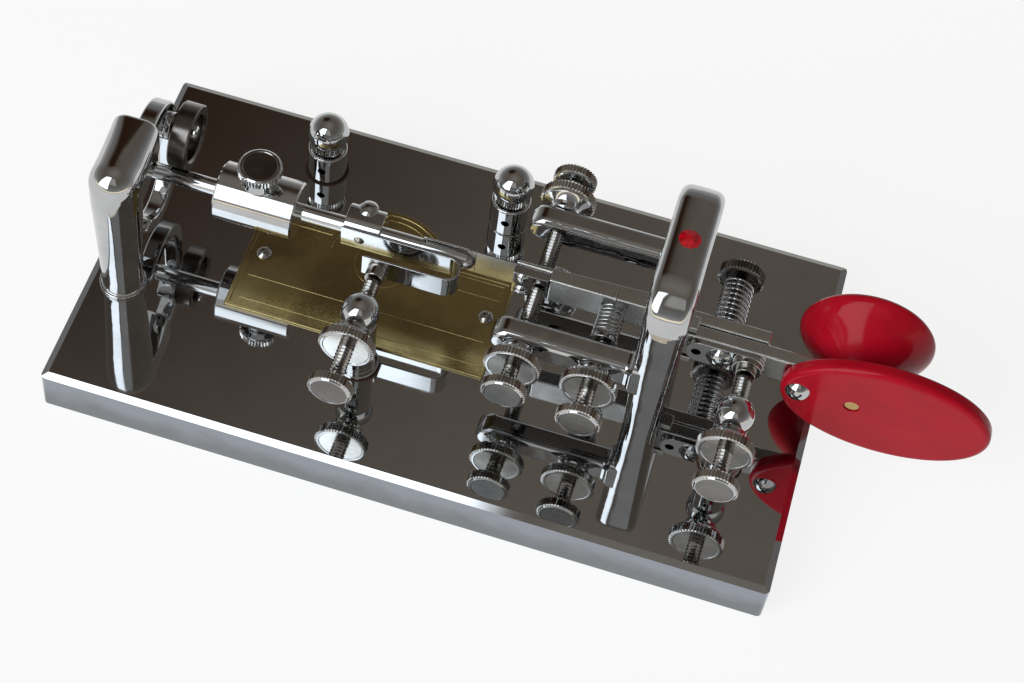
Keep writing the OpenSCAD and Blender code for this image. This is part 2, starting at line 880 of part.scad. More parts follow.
module pivot_nut() {
    color(steel)
        translate([pivot_x, mech_y, recess_z - pivot_nut_t])
            difference() {
                cylinder(d = pivot_nut_d, h = pivot_nut_t, $fn = 6);
                translate([0, 0, -over])
                    cylinder(d = pivot_screw_d + 2 * run_gap, h = pivot_nut_t + 2 * over);
            }
}

module pivot_shaft() {
    color(steel) {
        post([pivot_x, mech_y], shaft_low, shaft_d, shaft_high - shaft_low);
        post([pivot_x, mech_y], shaft_low - tip_l, tip_d, shaft_high - shaft_low + 2 * tip_l);
    }
}

// Dot lever and the main spring that carries the pendulum

module dot_lever_outline() {
    recess_y = mech_y + spring_t / 2;
    polygon([
        [lever_left_x, recess_y],
        [lever_left_x + clamp_l, recess_y],
        [lever_left_x + clamp_l, shared_y],
        [pivot_x + lever_right, shared_y],
        [pivot_x + lever_right, right_back_y],
        [pivot_x + hub_d / 2, right_back_y],
        [pivot_x, shared_y + lever_t],
        [lever_left_x, shared_y + lever_tip_t]
    ]);
}

module dot_lever() {
    color(steel)
        difference() {
            union() {
                translate([0, 0, axis_z - lever_h / 2])
                    linear_extrude(lever_h)
                        dot_lever_outline();
                post([pivot_x, mech_y], axis_z - hub_h / 2, hub_d, hub_h);
            }
            post([pivot_x, mech_y], axis_z - hub_h / 2 - over, shaft_d + 2 * run_gap, hub_h + 2 * over);
            for (z = clamp_screw_zs)
                rod_y([clamp_screw_x, mech_y, z], clamp_screw_d / 2 + run_gap, lever_t);
            rod_y([dash_screw_x, shared_y - over, axis_z], dash_screw_d / 2 + dash_screw_room,
                lever_right_t + 2 * over);
            post([hook_x, hook_y], axis_z + lever_h / 2 - hook_depth, return_wire + 4 * run_gap, hook_depth + over);
        }
}

module spring_clamp() {
    color(steel)
        difference() {
            translate([lever_left_x, clamp_face_y, axis_z - spring_h / 2])
                cube([clamp_l, mech_y - spring_t / 2 - clamp_face_y, spring_h]);
            for (z = clamp_screw_zs)
                rod_y([clamp_screw_x, clamp_face_y - over, z], clamp_screw_d / 2 + run_gap, lever_t);
        }
}

module clamp_screws() {
    back_y = shared_y + lever_tip_t;
    color(steel)
        for (z = clamp_screw_zs) {
            rod_y([clamp_screw_x, clamp_face_y, z], clamp_screw_d / 2, back_y - clamp_face_y);
            translate([clamp_screw_x, clamp_face_y, z])
                rotate([90, 0, 0])
                    dome(clamp_head_d / 2, clamp_head_t);
        }
}

module main_spring() {
    color(steel)
        difference() {
            translate([spring_end_x, mech_y - spring_t / 2, axis_z - spring_h / 2])
                cube([lever_left_x + clamp_l - spring_end_x, spring_t, spring_h]);
            for (z = clamp_screw_zs)
                rod_y([clamp_screw_x, mech_y - over, z], clamp_screw_d / 2 + run_gap, 2 * over);
            for (x = rivet_xs)
                rod_y([x, mech_y - over, axis_z], rivet_d / 2 + run_gap, 2 * over);
        }
}

// Pendulum: the rod in its slotted ferrule, its weight and the dot contact

module pendulum_rod() {
    color(steel)
        difference() {
            union() {
                rod_x([pivot_x - rod_reach + rod_d / 2, mech_y, axis_z], rod_d / 2,
                    rod_reach - rod_d / 2 + ferrule_left_x - pivot_x);
                translate([pivot_x - rod_reach + rod_d / 2, mech_y, axis_z])
                    sphere(d = rod_d);
                rod_x([ferrule_left_x, mech_y, axis_z], ferrule_d / 2, ferrule_l - ferrule_d / 2);
                translate([ferrule_x - ferrule_d / 2, mech_y, axis_z])
                    sphere(d = ferrule_d);
            }
            translate([spring_end_x - free_gap, mech_y - spring_t / 2 - run_gap, axis_z - ferrule_d])
                cube([ferrule_l + over, spring_t + 2 * run_gap, 2 * ferrule_d]);
            for (x = rivet_xs)
                rod_y([x, mech_y - ferrule_d, axis_z], rivet_d / 2 + run_gap, 2 * ferrule_d);
        }
}

module rod_rivets() {
    color(steel)
        for (x = rivet_xs)
            rod_y([x, mech_y - ferrule_d / 2, axis_z], rivet_d / 2, ferrule_d);
}

module pendulum_weight() {
    color(steel)
        difference() {
            translate([weight_x - weight_l / 2, mech_y, axis_z])
                rotate([0, 90, 0])
                    chamfered_disc(weight_d, weight_l, weight_bevel);
            rod_x([weight_x - weight_l, mech_y, axis_z], rod_d / 2 + run_gap, 2 * weight_l);
            post([weight_x, mech_y], axis_z, thumb_screw_d + 2 * run_gap, weight_d);
        }
}

// A disc or drum with both rims chamfered, standing on z = 0
module chamfered_disc(d, h, bevel) {
    rotate_extrude()
        polygon([
            [0, 0],
            [d / 2 - bevel, 0],
            [d / 2, bevel],
            [d / 2, h - bevel],
            [d / 2 - bevel, h],
            [0, h]
        ]);
}

module weight_thumb_screw() {
    collar_z = weight_top_z + end_play;
    disc_z = collar_z + thumb_collar_h;
    color(dark_steel) {
        post([weight_x, mech_y], axis_z + rod_d / 2 + end_play, thumb_screw_d, disc_z - axis_z - rod_d / 2);
        translate([weight_x, mech_y, collar_z])
            cylinder(d1 = thumb_collar_share * thumb_d, d2 = thumb_neck_share * thumb_d, h = thumb_collar_h);
        translate([weight_x, mech_y, disc_z])
            chamfered_disc(thumb_d, thumb_disc_t, rim_bevel);
    }
}

module contact_saddle() {
    color(steel)
        difference() {
            translate([saddle_x + saddle_l / 2, mech_y + (saddle_back - saddle_front) / 2, axis_z])
                along_x(saddle_l)
                    rounded_box_outline(saddle_front + saddle_back, saddle_h, saddle_round);
            rod_x([saddle_x - over, mech_y, axis_z], rod_d / 2 + run_gap, saddle_l + 2 * over);
            translate([saddle_x - over, mech_y, axis_z - slot_w / 2])
                cube([saddle_l + 2 * over, saddle_back + over, slot_w]);
            post(saddle_screw_p, axis_z - saddle_h, clamp_screw_d + 2 * run_gap, 2 * saddle_h);
        }
    color(steel) {
        rod_y([inner_rivet_x, saddle_front_y - strip_t, axis_z], rivet_d / 2, strip_t);
        translate([inner_rivet_x, saddle_front_y - strip_t, axis_z])
            rotate([90, 0, 0])
                dome(rivet_head_d / 2, rivet_head_t);
    }
}

module saddle_screw() {
    color(steel) {
        post(saddle_screw_p, axis_z - saddle_h / 2, clamp_screw_d, saddle_h);
        translate([saddle_screw_p.x, saddle_screw_p.y, axis_z + saddle_h / 2])
            dome(saddle_head_d / 2, clamp_head_t);
    }
}

module dot_contact_spring() {
    inner_l = bend_x - saddle_x;
    outer_l = bend_x - dot_x + leaf_past;
    color(steel)
        difference() {
            translate([bend_x, saddle_front_y - bend_r, axis_z - strip_h / 2])
                linear_extrude(strip_h) {
                    difference() {
                        circle(r = bend_r);
                        circle(r = bend_r - strip_t);
                        translate([-bend_r - over, -bend_r - over])
                            square([bend_r + over, 2 * bend_r + 2 * over]);
                    }
                    translate([-inner_l, bend_r - strip_t])
                        square([inner_l, strip_t]);
                    translate([-outer_l, -bend_r])
                        square([outer_l, strip_t]);
                }
            rod_y([inner_rivet_x, saddle_front_y - strip_t - over, axis_z], rivet_d / 2 + run_gap, strip_t + 2 * over);
            rod_y([dot_x, outer_leaf_y - over, axis_z], rivet_d / 2 + run_gap, strip_t + 2 * over);
        }
}

module dot_contact_point() {
    color(brass_colour) {
        rod_y([dot_x, outer_leaf_y, axis_z], rivet_d / 2, strip_t);
        translate([dot_x, outer_leaf_y, axis_z])
            rotate([90, 0, 0])
                chamfered_disc(point_d, point_l, rim_bevel);
    }
}

// Finger lever with the dash contact and the two finger pieces

module ear() {
    linear_extrude(ear_t)
        difference() {
            union() {
                translate([pivot_x, mech_y])
                    circle(d = hub_d);
                translate([pivot_x, finger_front_y])
                    square([web_x + web_l - pivot_x, finger_t]);
            }
            translate([pivot_x, mech_y])
                circle(d = shaft_d + 2 * run_gap);
        }
}

module finger_lever() {
    color(steel)
        difference() {
            union() {
                translate([web_x, finger_front_y, axis_z - lever_h / 2])
                    cube([pivot_x + finger_right - web_x, finger_t, lever_h]);
                translate([web_x, finger_front_y, axis_z - ear_z - ear_t])
                    cube([web_l, finger_t, 2 * (ear_z + ear_t)]);
                for (z = [axis_z + ear_z, axis_z - ear_z - ear_t])
                    translate([0, 0, z])
                        ear();
            }
            rod_y([dash_screw_x, finger_front_y - over, axis_z], dash_screw_d / 2 + run_gap, finger_t + 2 * over);
            rod_y([spare_hole_x, finger_front_y - over, axis_z], spare_hole_d / 2, finger_t + 2 * over);
            rod_y([knob_x, finger_front_y - over, axis_z], stud_d / 2 + run_gap, finger_t + 2 * over);
            rod_y([paddle_screw_x, finger_front_y - over, axis_z], paddle_screw_d / 2 + run_gap,
                finger_t + 2 * over);
            rod_y([dash_x, finger_front_y - over, axis_z], rivet_d / 2 + run_gap, over + strap_t);
        }
}

// An ellipse with the given axes
function ellipse(a, b) = [for (k = [0 : ellipse_steps - 1]) let (t = 360 * k / ellipse_steps) [a * cos(t), b * sin(t)]];

module thumb_paddle() {
    color(red_plastic)
        difference() {
            translate([paddle_x, finger_front_y - paddle_t / 2, axis_z + paddle_rise])
                along_y(paddle_t)
                    polygon(ellipse(paddle_l / 2, paddle_h / 2));
            rod_y([paddle_screw_x, paddle_front_y - over, axis_z], paddle_screw_d / 2 + run_gap, paddle_t + 2 * over);
            rod_y([knob_x, paddle_front_y - over, axis_z], stud_d / 2 + run_gap, paddle_t + 2 * over);
        }
}

module paddle_screw() {
    color(steel) {
        rod_y([paddle_screw_x, paddle_front_y, axis_z], paddle_screw_d / 2, paddle_t + finger_t);
        translate([paddle_screw_x, paddle_front_y, axis_z])
            rotate([90, 0, 0])
                dome(paddle_head_d / 2, paddle_head_h);
    }
}

module knob_stud() {
    color(brass_colour)
        rod_y([knob_x, paddle_front_y + stud_sunk, axis_z], stud_d / 2,
            finger_back_y - paddle_front_y - stud_sunk + stud_in);
}

// The knob flares like a trumpet from its neck to its rim
module finger_knob() {
    neck_r = knob_neck_d / 2;
    rim_r = knob_d / 2;
    flare_l = knob_l - knob_rim;
    flare = [for (k = [0 : flare_steps]) let (t = k / flare_steps)
        [neck_r + (rim_r - neck_r) * pow(t, flare_power), flare_l * t]];
    color(red_plastic)
        translate([knob_x, finger_back_y, axis_z])
            rotate([-90, 0, 0])
                difference() {
                    rotate_extrude()
                        polygon(concat([[0, 0]], flare, [[rim_r, knob_l], [0, knob_l]]));
                    translate([0, 0, -over])
                        cylinder(d = stud_d + 2 * run_gap, h = stud_in + free_gap + over);
                }
}

module dash_strap() {
    strap_x = pivot_x + strap_start + strap_l / 2;
    color(steel)
        difference() {
            translate([strap_x, finger_front_y - strap_t / 2, axis_z])
                along_y(strap_t)
                    rounded_box_outline(strap_l, strap_h, strap_round_share * strap_h);
            rod_y([dash_screw_x, finger_front_y - strap_t - over, axis_z], dash_screw_d / 2 + run_gap,
                strap_t + 2 * over);
            rod_y([spare_hole_x, finger_front_y - strap_t - over, axis_z], spare_hole_d / 2, strap_t + 2 * over);
            rod_y([dash_x, finger_front_y - strap_t - over, axis_z], rivet_d / 2 + run_gap, strap_t + 2 * over);
        }
}

module dash_contact_point() {
    color(brass_colour) {
        rod_y([dash_x, strap_face_y, axis_z], rivet_d / 2, 2 * strap_t - run_gap);
        translate([dash_x, strap_face_y, axis_z])
            rotate([90, 0, 0]) {
                cylinder(d = point_base_d, h = point_base_t);
                chamfered_disc(point_d, point_base_t + dash_point_l, rim_bevel);
            }
    }
}

// Coil springs: one tube swept along a helix, with straight ends square to their seats

function unit(v) = v / norm(v);
function tangents(p) = [for (i = [0 : len(p) - 1]) unit(p[min(i + 1, len(p) - 1)] - p[max(i - 1, 0)])];
function across(n, t) = unit(n - (n * t) * t);
function normals(t, n0) = [for (i = 0, n = across(n0, t[0]); i < len(t);
    i = i + 1, n = i < len(t) ? across(n, t[i]) : n) n];

module tube(path, d, n0) {
    t = tangents(path);
    n = normals(t, n0);
    m = len(path);
    s = coil_sides;
    points = [for (i = [0 : m - 1], k = [0 : s - 1])
        path[i] + d / 2 * (cos(360 * k / s) * n[i] + sin(360 * k / s) * cross(t[i], n[i]))];
    walls = [for (i = [0 : m - 2], k = [0 : s - 1])
        let (a = i * s + k, b = i * s + (k + 1) % s, c = a + s, e = b + s)
            each [[a, c, b], [b, c, e]]];
    caps = [for (k = [1 : s - 2]) each [[0, k, k + 1], [(m - 1) * s, (m - 1) * s + k + 1, (m - 1) * s + k]]];
    polyhedron(points, concat(walls, caps), convexity = 10);
}

// A helix about +Y from the origin: first and last points stand straight on the two seats
function helix(l, mean_r, wire, turns) = concat(
    [[0, 0, mean_r]],
    [for (k = [0 : turns * coil_rings]) let (a = 360 * k / coil_rings)
        [mean_r * sin(a), wire + (l - 2 * wire) * k / (turns * coil_rings), mean_r * cos(a)]],
    [[0, l, mean_r]]);

// Least gap between two windings of a path, measured from point to point
function self_gap(p, wire) = min([for (i = [0 : len(p) - 1], j = [i + coil_rings - 2 : 1 : len(p) - 1])
    norm(p[i] - p[j])]) - wire;

return_path = concat(
    [
        [0, -hook_in, lever_h / 2 - hook_depth / 2],
        [0, -hook_in, lever_h / 2 + return_wire],
        [0, -hook_in / 2, lever_h / 2 + 2 * return_wire],
        [0, return_wire, lever_h / 2 + return_wire],
        [0, return_wire, (lever_h + return_d - return_wire) / 4]
    ],
    [for (k = [0 : return_turns * coil_rings]) let (a = 360 * k / coil_rings)
        [(return_d - return_wire) / 2 * sin(a),
            2 * return_wire + (return_l - 3 * return_wire) * k / (return_turns * coil_rings),
            (return_d - return_wire) / 2 * cos(a)]],
    [[0, return_l, (return_d - return_wire) / 2]]);
dash_path = helix(dash_spring_l, (dash_spring_d - dash_wire) / 2, dash_wire, dash_turns);
echo(return_spring_gap = self_gap(return_path, return_wire));
echo(dash_spring_gap = self_gap(dash_path, dash_wire));

module return_spring() {
    color(steel)
        translate([return_x, shared_y, axis_z])
            rotate([0, 0, 180])
                tube(return_path, return_wire, [1, 0, 0]);
}

module dash_spring() {
    color(steel)
        translate([dash_screw_x, right_back_y, axis_z])
            tube(dash_path, dash_wire, [1, 0, 0]);
}

module dash_spring_screw() {
    color(steel) {
        rod_y([dash_screw_x, strap_face_y, axis_z], dash_screw_d / 2,
            dash_knob_y + dash_knob_t - strap_face_y + dash_screw_past);
        translate([dash_screw_x, strap_face_y, axis_z])
            rotate([90, 0, 0])
                dome(dash_head_d / 2, dash_head_h);
    }
}

module dash_spring_knob() {
    color(dark_steel)
        translate([dash_screw_x, dash_knob_y, axis_z])
            rotate([-90, 0, 0])
                difference() {
                    chamfered_disc(dash_knob_d, dash_knob_t, rim_bevel);
                    translate([0, 0, -over])
                        cylinder(d = dash_screw_d + 2 * run_gap, h = dash_knob_t + 2 * over);
                }
}

// Adjusting screws and lock nuts, drawn outward from the rod line

// Screw from its tip to its knurled head; seat is where its lock nut bears, neck the thread past the nut
module adjuster(tip, seat, neck) {
    head_from = seat + nut_l + neck;
    color(steel) {
        outward_rod(tip, head_from + over * head_lap_share, thread_d);
        translate([0, head_from, 0])
            rotate([-90, 0, 0])
                chamfered_disc(head_d, head_t, rim_bevel);
    }
}

// Bell-shaped lock nut: its hub seats inward and its knurled rim faces outward with a dished front
module lock_nut(seat) {
    rim_from = nut_l - nut_rim_t;
    color(steel)
        translate([0, seat, 0])
            rotate([-90, 0, 0])
                difference() {
                    rotate_extrude()
                        polygon([
                            [0, 0],
                            [nut_hub_d / 2, 0],
                            [nut_hub_d / 2, rim_from * nut_waist_share],
                            [nut_d / 2 - rim_bevel, rim_from],
                            [nut_d / 2, rim_from + rim_bevel],
                            [nut_d / 2, nut_l - rim_bevel],
                            [nut_d / 2 - rim_bevel, nut_l],
                            [nut_d / 2 - nut_edge, nut_l],
                            [thread_d / 2 + nut_edge, nut_l - nut_dish],
                            [0, nut_l - nut_dish]
                        ]);
                    translate([0, 0, -over])
                        cylinder(d = thread_d + 2 * run_gap, h = nut_l + 2 * over);
                }
}

module dot_stop_screw() {
    outward(stop_x, -1)
        adjuster(stop_tip, arm_face, dot_stop_neck);
}

module dot_stop_nut() {
    outward(stop_x, -1)
        lock_nut(arm_face);
}

module return_screw() {
    outward(return_x, -1)
        adjuster(return_tip + seat_t - spigot_share * return_l, arm_face, return_neck);
}

module return_nut() {
    outward(return_x, -1)
        lock_nut(arm_face);
}

// Cup on the return screw's tip that the spring bears on
module return_seat() {
    color(steel)
        outward(return_x, -1)
            difference() {
                outward_rod(return_tip, return_tip + seat_t, return_d + 2 * seat_lip);
                outward_rod(return_tip - over, return_tip + seat_t + over, thread_d + 2 * run_gap);
            }
}

module back_stop_screw() {
    outward(stop_x, 1)
        adjuster(back_stop_tip, arm_face, back_stop_neck);
}

module back_stop_nut() {
    outward(stop_x, 1)
        lock_nut(arm_face);
}

// Contact posts: a ball on a column, with the contact screw through the ball

module contact_post(x, off) {
    p = [x, mech_y - off];
    color(steel)
        difference() {
            union() {
                post(p, top_z, post_foot_d, post_foot_t);
                post(p, top_z, column_d, axis_h);
                translate([p.x, p.y, axis_z])
                    sphere(d = ball_d);
            }
            outward(x, -1)
                outward_rod(off - ball_d, off + ball_d, thread_d + 2 * run_gap);
            post(p, top_z - over, post_screw_d + 2 * run_gap, post_screw_in + free_gap + over);
        }
}

module dot_post() {
    contact_post(dot_x, dot_post_off);
}

module dash_post() {
    contact_post(dash_x, dash_post_off);
}

module dot_contact_screw() {
    outward(dot_x, -1)
        adjuster(dot_tip, dot_seat, dot_neck);
}

module dot_contact_nut() {
    outward(dot_x, -1)
        lock_nut(dot_seat);
}

module dash_contact_screw() {
    outward(dash_x, -1)
        adjuster(dash_tip, dash_seat, dash_neck);
}

module dash_contact_nut() {
    outward(dash_x, -1)
        lock_nut(dash_seat);
}

// Binding posts: a body with a cross hole for a wire, and a domed nut that clamps it

module binding_post(x) {
    color(steel)
        difference() {
            post([x, binding_y], top_z, binding_d, binding_h);
            rod_y([x, binding_y - binding_d, top_z + wire_hole_h], wire_hole_d / 2, 2 * binding_d);
            post([x, binding_y], top_z - over, post_screw_d + 2 * run_gap, post_screw_in + run_gap + over);
            post([x, binding_y], stud_low_z - stud_break, post_screw_d + 2 * run_gap, binding_h);
        }
}

module binding_nut(x) {
    dome_r = dome_d / 2;
    color(steel)
        translate([x, binding_y, nut_low_z]) {
            cylinder(d = skirt_share * dome_d, h = skirt_h);
            translate([0, 0, stud_low_z - nut_low_z])
                cylinder(d = post_screw_d, h = nut_low_z - stud_low_z + skirt_h);
            intersection() {
                translate([0, 0, skirt_h + dome_share * dome_r])
                    sphere(r = dome_r);
                translate([0, 0, skirt_h])
                    cylinder(r = dome_d, h = dome_d);
            }
        }
}

module binding_post_left() {
    binding_post(binding_left_x);
}

module binding_post_right() {
    binding_post(binding_right_x);
}

module binding_nut_left() {
    binding_nut(binding_left_x);
}

module binding_nut_right() {
    binding_nut(binding_right_x);
}

// Insulation, screws and straps under the slab

module insulating_bushings() {
    color(fibre_brown)
        for (p = live_posts)
            difference() {
                union() {
                    post(p, recess_z, bushing_d, top_z - recess_z);
                    post(p, top_z - bushing_flange_t, bushing_flange_d, bushing_flange_t);
                }
                post(p, recess_z - over, post_screw_d + 2 * run_gap, base_t + 2 * over);
            }
}

module insulating_washers() {
    color(fibre_brown)
        for (p = live_posts)
            difference() {
                post(p, strap_top_z, washer_d, washer_t);
                post(p, strap_top_z - over, post_screw_d + 2 * run_gap, washer_t + 2 * over);
            }
}

module post_screw(p, seat_z) {
    post(p, seat_z - under_head_t, under_head_d, under_head_t);
    post(p, seat_z - under_head_t, post_screw_d, top_z + post_screw_in - seat_z + under_head_t);
}

module post_screws() {
    color(steel) {
        for (p = live_posts)
            post_screw(p, screw_seat_z);
        post_screw(ground_post, recess_z - wire_strap_t);
    }
}

module wiring_straps() {
    color(brass_colour) {
        difference() {
            run(live_route, wire_strap_w, strap_end_d, screw_seat_z, wire_strap_t);
            for (p = live_posts)
                post(p, screw_seat_z - over, post_screw_d + 2 * run_gap, wire_strap_t + 2 * over);
        }
        difference() {
            run(ground_route, wire_strap_w, strap_end_d, recess_z - wire_strap_t, wire_strap_t);
            post(ground_post, foot_h, post_screw_d + 2 * run_gap, recess_h + over);
            post(leg_places[1], foot_h, frame_screw_d + 2 * run_gap, recess_h + over);
        }
    }
}

// Damper: a post whose head reaches over the rod, a hoop round the rod and a ring that hangs beside it

module damper_column() {
    rotate_extrude()
        polygon([
            [0, 0],
            [damper_d / 2, 0],
            [damper_d / 2, damper_flare_share * damper_h],
            [damper_top_d / 2, head_low_z - top_z],
            [damper_top_d / 2, head_low_z - top_z + damper_head_h / 2],
            [0, head_low_z - top_z + damper_head_h / 2]
        ]);
}

module damper_head() {
    r = damper_top_d / 2;
    back_r = damper_back_share * r;
    hull() {
        translate([0, 0, head_low_z - top_z])
            cylinder(r = r, h = damper_head_h - r, $fn = hull_fn);
        translate([0, 0, damper_h - r])
            sphere(r = r, $fn = hull_fn);
        for (s = [-1, 1], z = [head_low_z - top_z + back_r, damper_h - back_r - head_fall])
            translate([s * (damper_back_w / 2 - back_r), 0, z])
                rotate([-90, 0, 0])
                    cylinder(r = back_r, h = head_back_y - damper_y, $fn = hull_fn);
    }
}

module damper_post() {
    color(steel)
        difference() {
            translate([damper_x, damper_y, top_z]) {
                damper_column();
                damper_head();
            }
            post([damper_x, damper_y], top_z - over, damper_screw_d + 2 * run_gap, damper_screw_in + free_gap + over);
        }
}

module damper_screw() {
    color(steel) {
        post([damper_x, damper_y], recess_z - under_head_t, damper_head_d, under_head_t);
        post([damper_x, damper_y], recess_z - under_head_t, damper_screw_d,
            top_z + damper_screw_in - recess_z + under_head_t);
    }
}

// A band that stands round the rod, open in front below the damper's head
module hoop_outline(grow) {
    r = hoop_r - grow;
    for (z = [hoop_top_z, hoop_low_z])
        translate([hoop_y, z])
            circle(r = r);
    translate([hoop_y - r, hoop_low_z])
        square([2 * r, hoop_top_z - hoop_low_z]);
}

module damper_hoop() {
    color(steel)
        difference() {
            union() {
                translate([hoop_x, 0, 0])
                    along_x(hoop_w)
                        difference() {
                            hoop_outline(0);
                            hoop_outline(hoop_t);
                            translate([hoop_y - hoop_r - over, hoop_low_z])
                                square([hoop_r + over, hoop_r + hoop_top_z - hoop_low_z - hoop_t - over]);
                            translate([hoop_y - hoop_r - over, hoop_low_z - hoop_r - over])
                                square([tongue_share * hoop_r + over, hoop_r + 2 * over]);
                            translate([head_back_y - 2 * hoop_r, hoop_top_z])
                                square([2 * hoop_r, hoop_r + over]);
                        }
                translate([hoop_x, 0, 0])
                    along_x(hoop_w)
                        intersection() {
                            translate([ring_pin_y, ring_pin_z])
                                circle(r = lug_r);
                            hoop_outline(0);
                        }
            }
            rod_x([hoop_x - hoop_w, ring_pin_y, ring_pin_z], ring_pin_d / 2 + run_gap, 2 * hoop_w);
        }
}

module damper_ring() {
    color(dark_steel)
        translate([ring_x, ring_pin_y + ring_drop * sin(ring_lean), ring_pin_z - ring_drop * cos(ring_lean)])
            rotate([0, 90, 0])
                difference() {
                    translate([0, 0, -ring_w / 2])
                        chamfered_disc(ring_d, ring_w, rim_bevel);
                    cylinder(d = ring_d - 2 * ring_wall, h = ring_w + 2 * over, center = true);
                }
}

module damper_pin() {
    hanger_x = hoop_x + hoop_w / 2;
    pin_end_x = ring_x + ring_w / 2 + hanger_gap;
    p = [hoop_x - hoop_w / 2, ring_pin_y, ring_pin_z];
    color(steel) {
        rod_x(p, ring_pin_d / 2, pin_end_x - p.x);
        rod_x([hanger_x, p.y, p.z], hanger_d / 2, hanger_t);
        rod_x([pin_end_x, p.y, p.z], pin_cap_d / 2, pin_cap_t);
    }
}

placed() {
    base_plate();
    rubber_feet();
    foot_screws();
    name_plate();
    plate_pins();
    yoke_frame();
    frame_screws();
    pivot_jewel();
    pivot_screw();
    pivot_nut();
    pivot_shaft();
    dot_lever();
    spring_clamp();
    clamp_screws();
    main_spring();
    pendulum_rod();
    rod_rivets();
    pendulum_weight();
    weight_thumb_screw();
    contact_saddle();
    saddle_screw();
    dot_contact_spring();
    dot_contact_point();
    finger_lever();
    thumb_paddle();
    paddle_screw();
    finger_knob();
    knob_stud();
    dash_strap();
    dash_contact_point();
    dash_spring();
    dash_spring_screw();
    dash_spring_knob();
    return_spring();
    return_seat();
    dot_stop_screw();
    dot_stop_nut();
    return_screw();
    return_nut();
    back_stop_screw();
    back_stop_nut();
    dot_post();
    dot_contact_screw();
    dot_contact_nut();
    dash_post();
    dash_contact_screw();
    dash_contact_nut();
    binding_post_left();
    binding_post_right();
    binding_nut_left();
    binding_nut_right();
    insulating_bushings();
    insulating_washers();
    post_screws();
    wiring_straps();
    damper_post();
    damper_hoop();
    damper_ring();
    damper_pin();
    damper_screw();
}
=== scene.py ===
import math
from functools import partial

import bmesh
import bpy
from mathutils import Matrix, Vector
from mathutils.bvhtree import BVHTree
from mathutils.interpolate import poly_3d_calc


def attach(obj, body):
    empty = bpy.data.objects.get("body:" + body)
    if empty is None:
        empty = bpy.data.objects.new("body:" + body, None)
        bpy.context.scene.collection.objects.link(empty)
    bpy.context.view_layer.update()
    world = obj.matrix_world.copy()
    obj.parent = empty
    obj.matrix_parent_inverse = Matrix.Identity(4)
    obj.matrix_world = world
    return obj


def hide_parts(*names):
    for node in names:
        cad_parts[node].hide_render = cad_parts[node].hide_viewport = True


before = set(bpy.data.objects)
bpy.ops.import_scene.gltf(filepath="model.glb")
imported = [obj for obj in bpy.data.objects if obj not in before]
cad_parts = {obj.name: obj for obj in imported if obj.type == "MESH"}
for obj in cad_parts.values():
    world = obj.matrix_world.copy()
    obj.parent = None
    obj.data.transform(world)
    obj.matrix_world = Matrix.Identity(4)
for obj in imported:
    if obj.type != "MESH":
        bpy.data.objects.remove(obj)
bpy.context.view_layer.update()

# Lengths below are millimetres from the middle of the base slab, on the surface that the key stands on
MM = 0.001
MIDDLE_X = 18.175
UP, FRONT, BACK, RIGHT = (0, 0, 1), (0, -1, 0), (0, 1, 0), (1, 0, 0)


def place(p):
    """A point in slab millimetres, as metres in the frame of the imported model"""
    return Vector(((p[0] - MIDDLE_X) * MM, p[1] * MM, p[2] * MM))


def put(name, data):
    """A new object in the scene"""
    made = bpy.data.objects.new(name, data)
    bpy.context.scene.collection.objects.link(made)
    return made


def bend(x, y, radius, start, end, steps):
    """Points of an arc about a centre, from one angle in degrees to another"""
    angles = [math.radians(start + (end - start) * k / steps) for k in range(steps + 1)]
    return [(x + radius * math.cos(a), y + radius * math.sin(a)) for a in angles]


# Camera at the photograph's place
EYE = (55.09, -286.68, 453.17)
AZIMUTH, ELEVATION, ROLL = (math.radians(a) for a in (10.841, 52.642, 7.101))
LENS, SENSOR = 81.55, 36
SHIFT, CLIP = (0.0345, -0.1683), (0.01, 50)


def make_camera():
    flat = math.cos(ELEVATION)
    back = Vector((math.sin(AZIMUTH) * flat, -math.cos(AZIMUTH) * flat, math.sin(ELEVATION)))
    right = Vector(UP).cross(back).normalized()
    up = back.cross(right)
    c, s = math.cos(ROLL), math.sin(ROLL)
    stand = Matrix((right * c + up * s, up * c - right * s, back)).transposed().to_4x4()
    stand.translation = place(EYE)
    data = bpy.data.cameras.new("camera")
    data.sensor_width, data.lens = SENSOR, LENS
    data.shift_x, data.shift_y = SHIFT
    data.clip_start, data.clip_end = CLIP
    camera = put("camera", data)
    camera.matrix_world = stand
    bpy.context.scene.camera = camera


make_camera()
bpy.context.scene.view_settings.view_transform = "Standard"

# Sizes and places of the key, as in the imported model
TOP, AXIS, MECH_Y, PIVOT_X, YOKE_TOP = 14.1, 34.4, 2.6, 46.4, 64.1
BASE_L, BASE_W = 165.1, 88.9
YOKE_SPAN, YOKE_H, YOKE_WALL = 38.4, 50.0, 7.0
LEG_W, CROWN_W = 7.8, 10.0
SHOULDER_R, INNER_R = 9.5, 4.5
ARM_OFF, ARM_T, ARM_H, ARM_REACH = 15.7, 5.8, 7.4, 36.0
ARM_FACE = ARM_OFF + ARM_T / 2
SHARED_Y, RIGHT_BACK_Y, CLAMP_Y = 0.6, 3.9, 0.2
FINGER_BACK_Y, FINGER_FRONT_Y = 0.4, -2.9
STRAP_T, PADDLE_T = 1.2, 3.8
STRAP_Y, PADDLE_Y = FINGER_FRONT_Y - STRAP_T, FINGER_FRONT_Y - PADDLE_T
LEVER_HALF, LEVER_LEFT_X, CLAMP_L = 3.9, 11.0, 8.0
SPRING_HALF, SPRING_FRONT_Y, SPRING_BACK_Y = 3.7, 2.4, 2.8
HUB_R, HUB_HALF = 3.5, 4.7
RETURN_L, DASH_SPRING_L = 8.6, 13.2
DOT_X, DASH_X, STOP_X, RETURN_X = -17.8, 65.3, 17.1, 34.0
DOT_POST_Y, DASH_POST_Y = -18.4, -16.8
